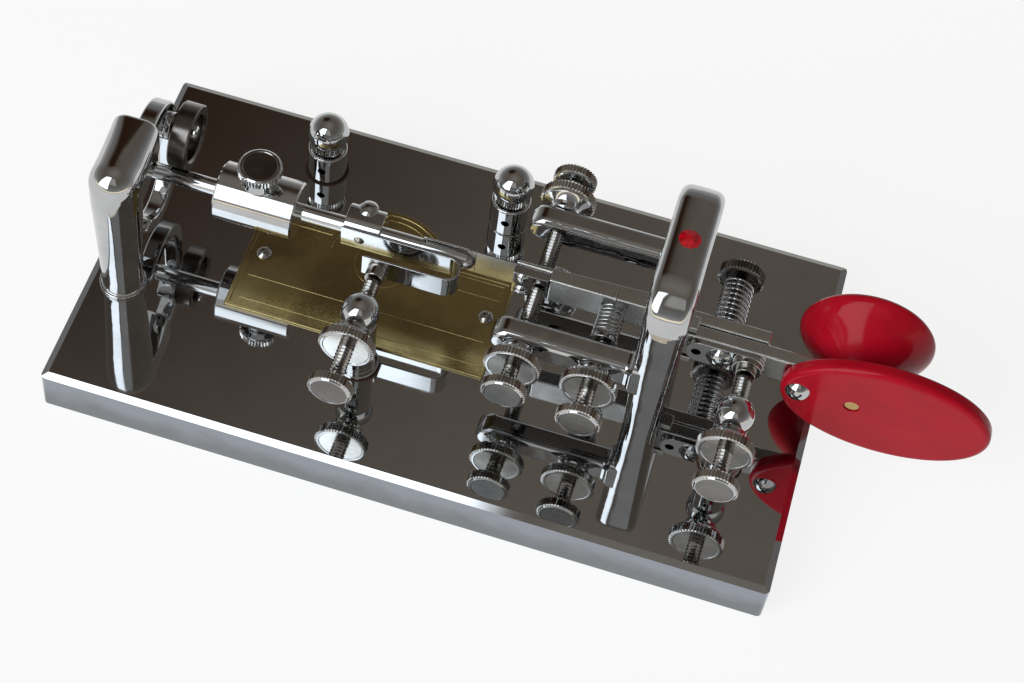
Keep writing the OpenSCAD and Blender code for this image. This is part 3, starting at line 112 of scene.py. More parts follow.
WEIGHT_X, SADDLE_X, BEND_X, BEND_R = -48.2, -28.2, -3.2, 3.2
ROD_R, ROD_REACH, FERRULE_R = 1.95, 122, 2.35
FERRULE_X, FERRULE_LEFT_X = 2.0, -10.4
KNOB_X, PADDLE_X, PADDLE_SCREW_X = 88.8, 95.95, 76.9
DASH_SCREW_X, DASH_KNOB_Y = 59.0, 17.1
THREAD_R, PITCH = 1.8, 0.85
HEAD_D, HEAD_T, KNURL_DEEP = 10.0, 2.6, 0.42
NUT_D, NUT_L, NUT_RIM_T, NUT_HUB_D = 12.6, 5.8, 2.4, 7.2
DAMPER, HOOP = (-74.6, -15.2), (-73.2, 1.5)
HOOP_TOP_Z, HOOP_LOW_Z = 44.5, 29.9
RING_PIN = (7.1, 46.1)
BINDINGS, BINDING_Y = {"left": -41.4, "right": 3.4}, 30.6
PLATE, LOBE = (-51.2, -13.5, 10.0, 13.5), (-20.6, 8.55, 15.0)
PLATE_PINS = ((-47.2, 2.6), (6.0, 2.6))


# Shader helpers

def add(tree, kind, links=None, **settings):
    """One node, with its settings and its inputs: values, sockets, or nodes by their first output"""
    made = tree.nodes.new(kind)
    for key, value in settings.items():
        setattr(made, key, value)
    for key, value in (links or {}).items():
        if isinstance(value, bpy.types.Node):
            value = value.outputs[0]
        if isinstance(value, bpy.types.NodeSocket):
            tree.links.new(value, made.inputs[key])
        else:
            made.inputs[key].default_value = value
    return made


def empty_tree(owner):
    owner.use_nodes = True
    owner.node_tree.nodes.clear()
    return owner.node_tree


def calc(tree, operation, *values):
    return add(tree, "ShaderNodeMath", dict(enumerate(values)), operation=operation)


def times(tree, first, *others):
    for value in others:
        first = calc(tree, "MULTIPLY", first, value)
    return first


def ranged(tree, value, low, high, to_low=0.0, to_high=1.0, kind="SMOOTHSTEP"):
    links = {"Value": value, "From Min": low, "From Max": high, "To Min": to_low, "To Max": to_high}
    return add(tree, "ShaderNodeMapRange", links, interpolation_type=kind)


def between(tree, value, low, high, soft):
    """1 between low and high, fading to 0 over the soft edge"""
    return times(tree, ranged(tree, value, low - soft, low + soft),
                 ranged(tree, value, high - soft, high + soft, 1.0, 0.0))


def mixed(tree, factor, a, b):
    return add(tree, "ShaderNodeMix", {0: factor, 6: a, 7: b}, data_type="RGBA").outputs[2]


def ramp(tree, value, stops):
    made = add(tree, "ShaderNodeValToRGB", {"Fac": value})
    elements = made.color_ramp.elements
    while len(elements) < len(stops):
        elements.new(0.5)
    for element, (position, colour) in zip(elements, stops):
        element.position, element.color = position, (*colour, 1)
    return made


def axes(tree, vector):
    return add(tree, "ShaderNodeSeparateXYZ", {0: vector}).outputs


# Studio: a soft room with one tall window in front on the left, a low warm band and a pale floor

ROOM = ((0.0, (0.5, 0.49, 0.46)), (0.09, (0.42, 0.41, 0.39)), (0.2, (0.24, 0.245, 0.25)),
        (0.42, (0.17, 0.15, 0.135)), (0.62, (0.15, 0.128, 0.108)), (0.76, (0.2, 0.175, 0.15)),
        (1.0, (0.27, 0.25, 0.23)))
SHADE_WAY, SHADE_REACH, SHADE = (-0.37, 0.62, 0.69), (0.12, 0.4), (0.034, 0.017, 0.01, 1)
# Wall, band and window: azimuths and their soft edge, elevations or rolls and their soft edge, colour
BRIGHT_AREAS = (((-6, 30), 2.5, "roll", (38, 66), 4.0, (0.45, 0.45, 0.44, 1)),
                ((-75, 75), 8.0, "rise", (1.5, 6.5), 1.0, (1.5, 1.35, 1.05, 1)),
                ((-55, -11), 2.5, "roll", (15, 69), 2.0, (3.2, 3.5, 3.75, 1)))
FLOOR_HALF, FLOOR_TONE, FLOOR_GLOW = 4, 0.86, 0.85
LAMP_SIZE, LAMP_POWER, LAMP_COLOUR = 0.5, 3.6, (0.97, 0.99, 1.0)
LAMP_PLACE, LAMP_WAY = (-0.42, -0.6, 0.52), (0.42, 0.6, -0.5)


def build_world():
    world = bpy.data.worlds.new("studio")
    bpy.context.scene.world = world
    t = empty_tree(world)
    way = add(t, "ShaderNodeTexCoord").outputs["Generated"]
    x, y, z = axes(t, way)
    front = calc(t, "MULTIPLY", y, -1.0)
    turn = calc(t, "DEGREES", calc(t, "ARCTAN2", x, front))
    heights = {"rise": calc(t, "DEGREES", calc(t, "ARCSINE", z)),
               "roll": calc(t, "DEGREES", calc(t, "ARCTAN2", z, front))}
    room = ramp(t, calc(t, "DIVIDE", heights["rise"], 90.0), ROOM)
    off = add(t, "ShaderNodeVectorMath", {0: way, 1: SHADE_WAY}, operation="DISTANCE").outputs["Value"]
    room = mixed(t, ranged(t, off, *SHADE_REACH), SHADE, room)
    for sides, side_soft, height, ends, end_soft, colour in BRIGHT_AREAS:
        area = times(t, between(t, turn, *sides, side_soft), between(t, heights[height], *ends, end_soft))
        room = mixed(t, area, room, colour)
    shader = add(t, "ShaderNodeBackground", {"Color": room, "Strength": 1.0})
    add(t, "ShaderNodeOutputWorld", {0: shader})


def build_floor():
    mesh = bpy.data.meshes.new("floor")
    corners = [(sx * FLOOR_HALF, sy * FLOOR_HALF, 0) for sx, sy in ((-1, -1), (1, -1), (1, 1), (-1, 1))]
    mesh.from_pydata(corners, [], [(0, 1, 2, 3)])
    floor = put("floor", mesh)
    material = bpy.data.materials.new("pale_floor")
    t = empty_tree(material)
    rays = add(t, "ShaderNodeLightPath").outputs
    seen = calc(t, "MAXIMUM", calc(t, "MAXIMUM", rays["Is Camera Ray"], rays["Is Glossy Ray"]),
                rays["Is Transmission Ray"])
    plain = add(t, "ShaderNodeBsdfDiffuse", {"Color": (FLOOR_TONE, FLOOR_TONE, FLOOR_TONE, 1)})
    pale = add(t, "ShaderNodeEmission", {"Color": (1, 1, 1, 1), "Strength": 1.0})
    shader = add(t, "ShaderNodeMixShader", {0: times(t, seen, FLOOR_GLOW), 1: plain, 2: pale})
    add(t, "ShaderNodeOutputMaterial", {0: shader})
    mesh.materials.append(material)


def build_lamp():
    """A soft lamp from the window's side, which metal doesn't show"""
    data = bpy.data.lights.new("soft_lamp", "AREA")
    data.shape, data.size, data.energy, data.color = "SQUARE", LAMP_SIZE, LAMP_POWER, LAMP_COLOUR
    lamp = put("soft_lamp", data)
    lamp.location = LAMP_PLACE
    lamp.rotation_euler = Vector(LAMP_WAY).to_track_quat("-Z", "Y").to_euler()
    lamp.visible_camera = lamp.visible_glossy = lamp.visible_transmission = False


build_world()
build_floor()
build_lamp()


# Shared surface effects

def new_tree(name, kind, inputs, output):
    """A node group with named inputs, each with the kind of its socket, and one output"""
    tree = bpy.data.node_groups.new(name, kind)
    for side, sockets in (("INPUT", inputs), ("OUTPUT", output)):
        for label, socket in sockets.items():
            tree.interface.new_socket(name=label, in_out=side, socket_type="NodeSocket" + socket)
    return tree, add(tree, "NodeGroupInput").outputs


def effect(build, label, kind="Float", **inputs):
    """A shader group that puts out under one label what its build function works out"""
    tree, given = new_tree(build.__name__, "ShaderNodeTree", inputs, {label: kind})
    add(tree, "NodeGroupOutput", {0: build(tree, given)})
    return tree


def use(tree, group, **values):
    return add(tree, "ShaderNodeGroup", values, node_tree=group)


def object_place(tree):
    return add(tree, "ShaderNodeTexCoord").outputs["Object"]


def noise(tree, vector, scale, detail=3.0, roughness=0.55):
    links = {"Vector": vector, "Scale": scale, "Detail": detail, "Roughness": roughness}
    return add(tree, "ShaderNodeTexNoise", links)


def handling(g, i):
    """Roughness between a clean and a handled value: cloudy smears, finger marks and fine wiping lines"""
    where = object_place(g)
    cloud = ranged(g, noise(g, where, 90.0), 0.42, 0.72)
    wiped = add(g, "ShaderNodeMapping", {
        "Vector": where, "Rotation": (0.3, 0.2, 0.6), "Scale": (1.0, 14.0, 3.0)})
    lines = ranged(g, noise(g, wiped, 270.0, 2.0), 0.5, 0.75)
    both = calc(g, "ADD", times(g, cloud, 0.75), times(g, lines, 0.25))
    return ranged(g, both, 0.0, 1.0, i["Clean"], i["Handled"], "LINEAR")


def specks(g, i):
    """Sparse specks of dust"""
    where = object_place(g)
    cell = add(g, "ShaderNodeTexVoronoi", {"Vector": where, "Scale": 900.0})
    speck = ranged(g, cell.outputs["Distance"], 0.05, 0.2, 1.0, 0.0)
    patch = ranged(g, noise(g, where, 160.0, 2.0), 0.5, 0.7)
    rare = ranged(g, add(g, "ShaderNodeSeparateColor", {0: cell.outputs["Color"]}), 0.7, 0.75)
    return times(g, speck, patch, rare, i["Amount"])


def turning(g, i):
    """Fine rings that a lathe leaves, so many to a millimetre of the distance that a piece stores"""
    along = add(g, "ShaderNodeAttribute", attribute_name="turned").outputs["Fac"]
    return add(g, "ShaderNodeTexNoise", {"W": times(g, along, i["Lines"]), "Scale": 1.0, "Detail": 2.0},
               noise_dimensions="1D")


def waver(g, i):
    """Slight unevenness of a polished or moulded surface"""
    return noise(g, object_place(g), i["Scale"], 2.0, 0.4)


def tone(g, i):
    """A colour that drifts between two tones, with dust on it"""
    drift = ranged(g, noise(g, object_place(g), i["Scale"], 4.0, 0.6), 0.35, 0.68)
    return mixed(g, i["Dust"], mixed(g, drift, i["First"], i["Second"]), (0.6, 0.58, 0.55, 1))


HANDLING = effect(handling, "Roughness", Clean="Float", Handled="Float")
SPECKS = effect(specks, "Mask", Amount="Float")
TURNING = effect(turning, "Height", Lines="Float")
WAVER = effect(waver, "Height", Scale="Float")
TONE = effect(tone, "Color", "Color", First="Color", Second="Color", Scale="Float", Dust="Float")


def finish(name, first, second, clean, handled, depth=1e-6, turned=0.0, metal=1.0, lines=9.0, dust=0.35,
           tone_scale=120.0, scale=500.0, **constants):
    """One finish: drifting colour, handled roughness, dust, lathe rings and a slight unevenness"""
    material = bpy.data.materials.new(name)
    t = empty_tree(material)
    dusty = use(t, SPECKS, Amount=dust)
    shader = add(t, "ShaderNodeBsdfPrincipled", {
        "Base Color": use(t, TONE, First=(*first, 1), Second=(*second, 1), Scale=tone_scale, Dust=dusty),
        "Roughness": calc(t, "MAXIMUM", use(t, HANDLING, Clean=clean, Handled=handled),
                          times(t, dusty, 0.9)),
        "Metallic": metal})
    for key, value in constants.items():
        shader.inputs[key.replace("_", " ")].default_value = value
    bump = add(t, "ShaderNodeBump", {"Height": use(t, WAVER, Scale=scale), "Strength": 1.0,
                                     "Distance": depth})
    if turned:
        bump = add(t, "ShaderNodeBump", {"Height": use(t, TURNING, Lines=lines), "Strength": 1.0,
                                         "Distance": turned, "Normal": bump})
    t.links.new(bump.outputs[0], shader.inputs["Normal"])
    add(t, "ShaderNodeOutputMaterial", {0: shader})
    return material


def painted_side_shade(material, high, low):
    """Painted shade: upright faces take a darker, mottled tone in place of the dim reflection they show,
    darker still towards the bottom
    """
    t = material.node_tree
    shader = next(n for n in t.nodes if n.type == "BSDF_PRINCIPLED")
    plain = shader.inputs["Base Color"].links[0].from_socket
    facing = calc(t, "ABSOLUTE", axes(t, add(t, "ShaderNodeNewGeometry").outputs["Normal"])[2])
    where = object_place(t)
    mottle = times(t, calc(t, "SUBTRACT", noise(t, where, 130.0, 3.0, 0.6), 0.5), 0.9)
    mottled = calc(t, "ADD", ranged(t, axes(t, where)[2], 0.002, 0.014), mottle)
    # Painted shade: a lighter tone high on the upright faces, darker towards the bottom, broken up by the
    # mottle
    side = mixed(t, ranged(t, mottled, 0.15, 0.95), low, high)
    t.links.new(mixed(t, ranged(t, facing, 0.05, 0.35), side, plain), shader.inputs["Base Color"])


CHROME = finish("mirror_chrome", (0.5, 0.505, 0.51), (0.47, 0.475, 0.48), 0.02, 0.065, 6e-7)
TURNED = finish("turned_chrome", (0.53, 0.53, 0.53), (0.47, 0.47, 0.47), 0.05, 0.12, 5e-7, 9e-7)
SATIN = finish("satin_face", (0.19, 0.185, 0.175), (0.14, 0.135, 0.13), 0.2, 0.34, 5e-7, 2e-6, lines=14)
DARK = finish("dark_plating", (0.3, 0.28, 0.265), (0.2, 0.185, 0.175), 0.14, 0.3, 1e-6, 2e-6)
LEVER = finish("plated_bar", (0.6, 0.595, 0.58), (0.52, 0.515, 0.505), 0.22, 0.34)
CAST = finish("plated_casting", (0.52, 0.52, 0.525), (0.46, 0.465, 0.47), 0.02, 0.07, 1.5e-4, scale=130)
SLAB_WITH_PAINTED_SHADE = finish("plated_slab_painted_shade", (0.5, 0.505, 0.51), (0.47, 0.475, 0.48), 0.02, 0.065, 6e-7)
# The slab's upright faces carry painted shade: a bluish grey that darkens towards the bottom
painted_side_shade(SLAB_WITH_PAINTED_SHADE, (0.29, 0.31, 0.35, 1), (0.2, 0.21, 0.22, 1))
KNURLED = finish("knurled_plating", (0.64, 0.625, 0.6), (0.5, 0.485, 0.46), 0.14, 0.26)
THREAD = finish("thread", (0.3, 0.285, 0.27), (0.19, 0.18, 0.17), 0.12, 0.26)
SMOKED = finish("smoked_plating", (0.17, 0.155, 0.145), (0.12, 0.11, 0.1), 0.2, 0.36, 1e-6, 2e-6)
DISH = finish("dished_face", (0.32, 0.315, 0.33), (0.22, 0.215, 0.22), 0.06, 0.16, 8e-6, scale=420)
SPRING = finish("spring_steel", (0.5, 0.49, 0.47), (0.36, 0.355, 0.35), 0.16, 0.3)
BRIGHT_SPRING = finish("polished_strip", (0.6, 0.61, 0.62), (0.54, 0.55, 0.56), 0.05, 0.14, 8e-7)
BRASS_PLATE = finish("plate_brass", (0.46, 0.365, 0.165), (0.32, 0.255, 0.11), 0.26, 0.46, 1.5e-6,
                     tone_scale=60)
BRASS = finish("plain_brass", (0.6, 0.43, 0.18), (0.46, 0.32, 0.13), 0.16, 0.32, 1e-6, 2e-6)
SILVER = finish("contact_metal", (0.44, 0.42, 0.39), (0.3, 0.285, 0.26), 0.14, 0.3, 1e-6, 2e-6)
RED = finish("red_plastic", (0.36, 0.004, 0.014), (0.32, 0.0035, 0.012), 0.08, 0.2, 2e-6, metal=0,
             scale=160, dust=0.08, Specular_IOR_Level=0.14)
JEWEL = finish("red_jewel", (0.55, 0.002, 0.012), (0.26, 0.001, 0.005), 0.02, 0.06, 5e-7, metal=0, dust=0.1,
               tone_scale=900, IOR=1.75)
RUBBER = finish("foot_rubber", (0.03, 0.03, 0.032), (0.018, 0.018, 0.02), 0.6, 0.85, 1.2e-5, metal=0,
                scale=1500)
FIBRE = finish("brown_fibre", (0.06, 0.026, 0.014), (0.035, 0.016, 0.009), 0.45, 0.7, 8e-6, metal=0,
               scale=2200)


# Meshes: a piece gathers shapes, each with its own normals, and becomes one object

class Piece:
    def __init__(self):
        self.points, self.faces, self.normals, self.turned, self.which, self.materials = [], [], [], [], [], []

    def take(self, points, faces, normals, material, turned=None):
        """Adds a shape: its points, faces, one normal for each corner of each face, and its finish"""
        start = len(self.points)
        self.points += [Vector(p) for p in points]
        self.turned += list(turned or [0.0] * len(points))
        self.faces += [[start + i for i in face] for face in faces]
        self.normals += normals
        if material not in self.materials:
            self.materials.append(material)
        self.which += [self.materials.index(material)] * len(faces)
        return self

    def mesh(self, name, scale=True):
        mesh = bpy.data.meshes.new(name)
        mesh.from_pydata([place(p) if scale else p for p in self.points], [], self.faces)
        for material in self.materials:
            mesh.materials.append(material)
        mesh.polygons.foreach_set("material_index", self.which)
        mesh.attributes.new("turned", "FLOAT", "POINT").data.foreach_set("value", self.turned)
        mesh.normals_split_custom_set([tuple(n) for face in self.normals for n in face])
        return mesh


def show(piece, name, body, slot, *nodes):
    """Makes the piece's object, puts it on its body and lets it stand for the solids that it replaces"""
    made = put(name, piece.mesh(name))
    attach(made, body)
    if nodes:
        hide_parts(*nodes)


def dressed(piece, node, body="base", slot="bright_plating", name=None):
    show(piece, name or node + "_dressed", body, slot, node)


JOIN_LIMIT = 50.0
NO_AREA = 1e-12


def corner_normals(points, faces, limit=JOIN_LIMIT):
    """Normals by face area, joined across edges that turn less than the limit"""
    flats = [sum((points[a].cross(points[b]) for a, b in zip(face, face[1:] + face[:1])), Vector())
             for face in faces]
    units = [n.normalized() if n.length > NO_AREA else Vector(UP) for n in flats]
    around = {}
    for index, face in enumerate(faces):
        for corner in face:
            around.setdefault(corner, []).append(index)
    least = math.cos(math.radians(limit))
    found = []
    for face, unit in zip(faces, units):
        totals = [sum((flats[k] for k in around[corner] if units[k].dot(unit) > least), Vector())
                  for corner in face]
        found.append([n.normalized() if n.length > NO_AREA else unit for n in totals])
    return found


def axis_frame(origin, along, hint=RIGHT):
    """A frame at a point whose Z runs along a direction and whose X leans to the hint"""
    z = Vector(along).normalized()
    x = Vector(hint)
    x = (x - z * x.dot(z)).normalized() if abs(x.dot(z)) < 0.99 else z.orthogonal().normalized()
    made = Matrix((x, z.cross(x), z)).transposed().to_4x4()
    made.translation = Vector(origin)
    return made


def level(x, y, way, hint=RIGHT):
    """A frame at the height of the rod and levers"""
    return axis_frame((x, y, AXIS), way, hint)


UPRIGHT = Matrix.Identity(4)
SMOOTH_TURN, LEAST_REACH, MOST_SHARE = 0.36, 1e-4, 0.45


def soften(path, radius, steps=3):
    """Rounds a profile's corners: returns points with their outward normals, two at a corner left sharp"""
    def spot(p, way):
        return p[0], p[1], way.y, -way.x

    ways = []
    for a, b in zip(path, path[1:]):
        d = Vector((b[0] - a[0], b[1] - a[1]))
        ways.append((d.normalized(), d.length))
    out = [spot(path[0], ways[0][0])]
    for corner, (d0, l0), (d1, l1) in zip(path[1:], ways, ways[1:]):
        point = Vector(corner[:2])
        own = corner[2] if len(corner) > 2 else radius
        turn = math.atan2(d0.x * d1.y - d0.y * d1.x, d0.dot(d1))
        if abs(turn) < SMOOTH_TURN:
            out.append(spot(point, (d0 + d1).normalized()))
            continue
        slope = math.tan(abs(turn) / 2)
        reach = min(own * slope, MOST_SHARE * min(l0, l1))
        if own <= 0 or reach < LEAST_REACH:
            out += [spot(point, d0), spot(point, d1)]
            continue
        arm = math.copysign(reach / slope, turn)
        centre = point - d0 * reach + Vector((-d0.y, d0.x)) * arm
        for k in range(steps + 1):
            c, s = math.cos(turn * k / steps), math.sin(turn * k / steps)
            d = Vector((d0.x * c - d0.y * s, d0.x * s + d0.y * c))
            out.append(spot(centre - Vector((-d.y, d.x)) * arm, d))
    out.append(spot(path[-1], ways[-1][0]))
    return out


def bar(radius, low, high):
    """The profile of a plain cylinder"""
    return [(0, low), (radius, low), (radius, high), (0, high)]


def like_ends(*lower):
    """A closed profile of a ring that is the same at both ends, from its lower half"""
    return [*lower, *((r, -h) for r, h in reversed(lower)), lower[0]]


POLE, SAME_SPOT = 1e-6, 1e-7


def lathe(piece, path, where, material, radius=0.15, turns=72, steps=3):
    """Turns a profile of (radius, height) points about the frame's Z, outside to its right"""
    rings = soften(path, radius, steps)
    spokes = bend(0, 0, 1, 0, 360, turns)
    points, turned, starts, length = [], [], [], 0.0
    for index, (r, h, _, _) in enumerate(rings):
        if index:
            length += math.dist((r, h), rings[index - 1][:2])
        starts.append(len(points))
        for c, s in spokes[:turns if r > POLE else 1]:
            points.append(where @ Vector((r * c, r * s, h)))
            turned.append(length)
    faces, normals = [], []
    rotation = where.to_3x3()
    for index in range(len(rings) - 1):
        if math.dist(rings[index][:2], rings[index + 1][:2]) < SAME_SPOT:
            continue
        for k in range(turns):
            corners = []
            for ring, step in ((index, k), (index, k + 1), (index + 1, k + 1), (index + 1, k)):
                r, _, nr, nh = rings[ring]
                spot = starts[ring] + (step % turns if r > POLE else 0)
                if corners and corners[-1][0] == spot:
                    continue
                c, s = spokes[step]
                corners.append((spot, rotation @ Vector((nr * c, nr * s, nh))))
            if corners[0][0] == corners[-1][0]:
                corners.pop()
            faces.append([c[0] for c in corners])
            normals.append([c[1].normalized() for c in corners])
    return piece.take(points, faces, normals, material, turned)


def outward(piece, points, faces, material, limit=JOIN_LIMIT):
    """Adds a closed shell, turned right side out if its volume is negative"""
    volume = sum(points[f[0]].dot(points[f[i]].cross(points[f[i + 1]])) for f in faces
                 for i in range(1, len(f) - 1))
    if volume < 0:
        faces = [face[::-1] for face in faces]
    return piece.take(points, faces, corner_normals(points, faces, limit), material)


def loft(piece, sections, material, limit=JOIN_LIMIT):
    """A skin through closed sections of equal length, with a flat face on each end"""
    count = len(sections[0])
    points = [Vector(p) for section in sections for p in section]
    last = len(points) - count
    faces = [[s + k, s + (k + 1) % count, s + (k + 1) % count + count, s + k + count]
             for s in range(0, last, count) for k in range(count)]
    faces += [list(range(count))[::-1], list(range(last, last + count))]
    return outward(piece, points, faces, material, limit)


def round_edges(bm, edges, radius, steps):
    bmesh.ops.bevel(bm, geom=edges, offset=radius, offset_type="OFFSET", segments=steps, profile=0.5,
                    affect="EDGES", clamp_overlap=True)


def from_bmesh(piece, bm, material):
    bm.verts.index_update()
    points = [v.co.copy() for v in bm.verts]
    faces = [[v.index for v in f.verts] for f in bm.faces]
    bm.free()
    return outward(piece, points, faces, material)


def prism(piece, outline, where, low, high, radius, material, steps=3):
    """A block with a flat outline, from low to high along the frame's Z, all its edges rounded"""
    bm = bmesh.new()
    bottom, top = ([bm.verts.new(where @ Vector((*p, z))) for p in outline] for z in (low, high))
    bm.faces.new(bottom[::-1])
    bm.faces.new(top)
    for corners in zip(bottom, bottom[1:] + bottom[:1], top[1:] + top[:1], top):
        bm.faces.new(corners)
    bm.normal_update()
    if radius:
        round_edges(bm, [e for e in bm.edges if e.calc_face_angle(0) > 0.3], radius, steps)
    return from_bmesh(piece, bm, material)


def block(low, high, radius, material, steps=3, piece=None):
    """A rounded box between two corners"""
    (x0, y0, z0), (x1, y1, z1) = low, high
    return prism(piece or Piece(), [(x0, y0), (x1, y0), (x1, y1), (x0, y1)], UPRIGHT, z0, z1, radius,
                 material, steps)


def shaped(made):
    """The mesh that an object's modifiers make, with its points and faces"""
    mesh = bpy.data.meshes.new_from_object(made.evaluated_get(bpy.context.evaluated_depsgraph_get()))
    return mesh, [v.co.copy() for v in mesh.vertices], [list(p.vertices) for p in mesh.polygons]


# How near a cut surface is to the one it came from, as a distance or the cosine of an angle
NEAR_POINT, NEAR_FACE, SAME_PLANE, SAME_WAY, LEAST_NORMAL = 1e-3, 0.05, 0.9, 0.75, 0.1


def cut(piece, *cutters):
    """Cuts closed shapes out of a piece; what is left of its surface keeps its normals and lathe rings"""
    objects = [put("cutting", shape.mesh("cutting", False)) for shape in (piece, *cutters)]
    for cutter in objects[1:]:
        step = objects[0].modifiers.new("cut", "BOOLEAN")
        step.operation, step.solver, step.object = "DIFFERENCE", "EXACT", cutter
    mesh, points, faces = shaped(objects[0])
    for made in objects:
        bpy.data.objects.remove(made)
    tree = BVHTree.FromPolygons(piece.points, piece.faces)
    result = Piece()
    result.materials, result.points, result.faces = list(piece.materials), points, faces
    result.turned = [0.0] * len(points)
    for polygon, face, own in zip(mesh.polygons, faces, corner_normals(points, faces)):
        row, flat = [], polygon.normal
        middle = sum((points[i] for i in face), Vector()) / len(face)
        _, facing, source, distance = tree.find_nearest(middle)
        kept = distance is not None and distance < NEAR_FACE and abs(facing.dot(flat)) > SAME_PLANE
        for corner, normal in zip(face, own):
            spot, _, hit, distance = tree.find_nearest(points[corner])
            if kept and hit is not None and distance < NEAR_POINT:
                before = piece.faces[hit]
                weights = poly_3d_calc([piece.points[i] for i in before], spot)
                smooth = sum((n * w for n, w in zip(piece.normals[hit], weights)), Vector())
                if smooth.length > LEAST_NORMAL and smooth.normalized().dot(flat) > SAME_WAY:
                    normal = smooth.normalized()
                    result.turned[corner] = sum(piece.turned[i] * w for i, w in zip(before, weights))
            row.append(normal)
        result.normals.append(row)
        result.which.append(piece.which[source] if kept else 0)
    bpy.data.meshes.remove(mesh)
    return result


def drilled(piece, radius, low, high, where, turns=32):
    """The piece with a round hole from low to high along the frame's Z"""
    return cut(piece, lathe(Piece(), bar(radius, low, high), where, CHROME, 0, turns))


# Geometry node trees for what repeats or follows a path

def geometry_tree(name, **inputs):
    inputs = {"Geometry": "Geometry", **inputs, "Finish": "Material"}
    tree, given = new_tree(name, "GeometryNodeTree", inputs, {"Geometry": "Geometry"})
    tree.is_modifier = True
    return tree, given


def close_tree(tree, given, geometry):
    plain = add(tree, "GeometryNodeRealizeInstances", {0: geometry})
    painted = add(tree, "GeometryNodeSetMaterial", {"Geometry": plain, "Material": given["Finish"]})
    add(tree, "NodeGroupOutput", {0: painted})
    return tree


def swept(tree, given, curve):
    """Closes a tree with a round wire along its curve"""
    sizes = {"Resolution": given["Sides"], "Radius": given["Wire"]}
    ring = add(tree, "GeometryNodeCurvePrimitiveCircle", sizes)
    return close_tree(tree, given, add(tree, "GeometryNodeCurveToMesh", {
        "Curve": curve, "Profile Curve": ring, "Fill Caps": True}))


def coil_tree():
    """A wire wound on a cylinder: a coil spring, or the ridge of a screw thread"""
    tree, i = geometry_tree("coil", Radius="Float", Wire="Float", Sides="Int", Turns="Float",
                            Height="Float", Steps="Int")
    spiral = add(tree, "GeometryNodeCurveSpiral", {
        "Resolution": i["Steps"], "Rotations": i["Turns"], "Start Radius": i["Radius"],
        "End Radius": i["Radius"], "Height": i["Height"]})
    return swept(tree, i, add(tree, "GeometryNodeSetCurveNormal", {"Curve": spiral}, mode="Z_UP"))


def path_tree():
    """A round wire along a line of points"""
    tree, i = geometry_tree("wire", Wire="Float", Sides="Int")
    return swept(tree, i, add(tree, "GeometryNodeMeshToCurve", {"Mesh": i["Geometry"]}))


def knurl_tree():
    """A straight-knurled band: every second line of a drum stands out, and both ends run in under the rim"""
    tree, i = geometry_tree("knurl", Radius="Float", Width="Float", Count="Int", Depth="Float",
                            Lead="Float")
    do, by = partial(calc, tree), partial(times, tree)
    drum = add(tree, "GeometryNodeMeshCylinder", {
        "Vertices": by(i["Count"], 2.0), "Side Segments": 3, "Radius": i["Radius"], "Depth": i["Width"]})
    x, y, z = axes(tree, add(tree, "GeometryNodeInputPosition"))
    inner = do("LESS_THAN", do("ABSOLUTE", z), by(i["Width"], 0.25))
    stretch = do("SUBTRACT", 2.0, do("DIVIDE", by(i["Lead"], 6.0), i["Width"]))
    height = by(z, do("ADD", 1.0, by(inner, stretch)))
    crest = by(inner, do("MODULO", add(tree, "GeometryNodeInputIndex"), 2.0), i["Depth"])
    low = do("SUBTRACT", do("SUBTRACT", i["Radius"], i["Depth"]), by(do("SUBTRACT", 1.0, inner), i["Lead"]))
    share = do("DIVIDE", do("ADD", low, crest), i["Radius"])
    spot = add(tree, "ShaderNodeCombineXYZ", {0: by(x, share), 1: by(y, share), 2: height})
    return close_tree(tree, i, add(tree, "GeometryNodeSetPosition", {
        "Geometry": drum, "Position": spot}))


MOST_SPIN = 1.4


def heads_tree():
    """A screw or rivet head on each point, turned to face the way that the point stores"""
    tree, i = geometry_tree("heads", Head="Object", Seed="Int")
    head = add(tree, "GeometryNodeObjectInfo", {"Object": i["Head"]})
    facing = add(tree, "GeometryNodeInputNamedAttribute", {"Name": "facing"}, data_type="FLOAT_VECTOR")
    aligned = add(tree, "FunctionNodeAlignRotationToVector", {"Vector": facing}, axis="Z")
    spin = add(tree, "FunctionNodeRandomValue", {2: -MOST_SPIN, 3: MOST_SPIN, "Seed": i["Seed"]},
               data_type="FLOAT")
    about = add(tree, "FunctionNodeAxisAngleToRotation", {"Axis": UP, "Angle": spin.outputs[1]})
    turned = add(tree, "FunctionNodeRotateRotation", {0: aligned, 1: about},
                 rotation_space="LOCAL")
    return close_tree(tree, i, add(tree, "GeometryNodeInstanceOnPoints", {
        "Points": i["Geometry"], "Instance": head.outputs["Geometry"], "Rotation": turned}))


COIL, WIRE, KNURL, HEADS = coil_tree(), path_tree(), knurl_tree(), heads_tree()


def grow(piece, tree, where, material, source=None, limit=JOIN_LIMIT, **values):
    """Runs a tree on a plain mesh, and adds the mesh that comes out to the piece"""
    worker = put("worker", source or bpy.data.meshes.new("seed"))
    step = worker.modifiers.new("shape", "NODES")
    step.node_group = tree
    given = dict(values, Finish=material)
    for item in tree.interface.items_tree:
        if item.in_out == "INPUT" and item.name in given:
            step[item.identifier] = given[item.name]
    mesh, points, faces = shaped(worker)
    worker.modifiers.remove(step)
    bpy.data.objects.remove(worker)
    bpy.data.meshes.remove(mesh)
    return outward(piece, [where @ p for p in points], faces, material, limit)


def knurl(piece, where, radius, low, high, count, material=KNURLED, depth=0.4):
    middle = where @ Matrix.Translation((0, 0, (low + high) / 2))
    return grow(piece, KNURL, middle, material, limit=12.0, Radius=radius, Width=high - low, Count=count,
                Depth=depth, Lead=0.16)


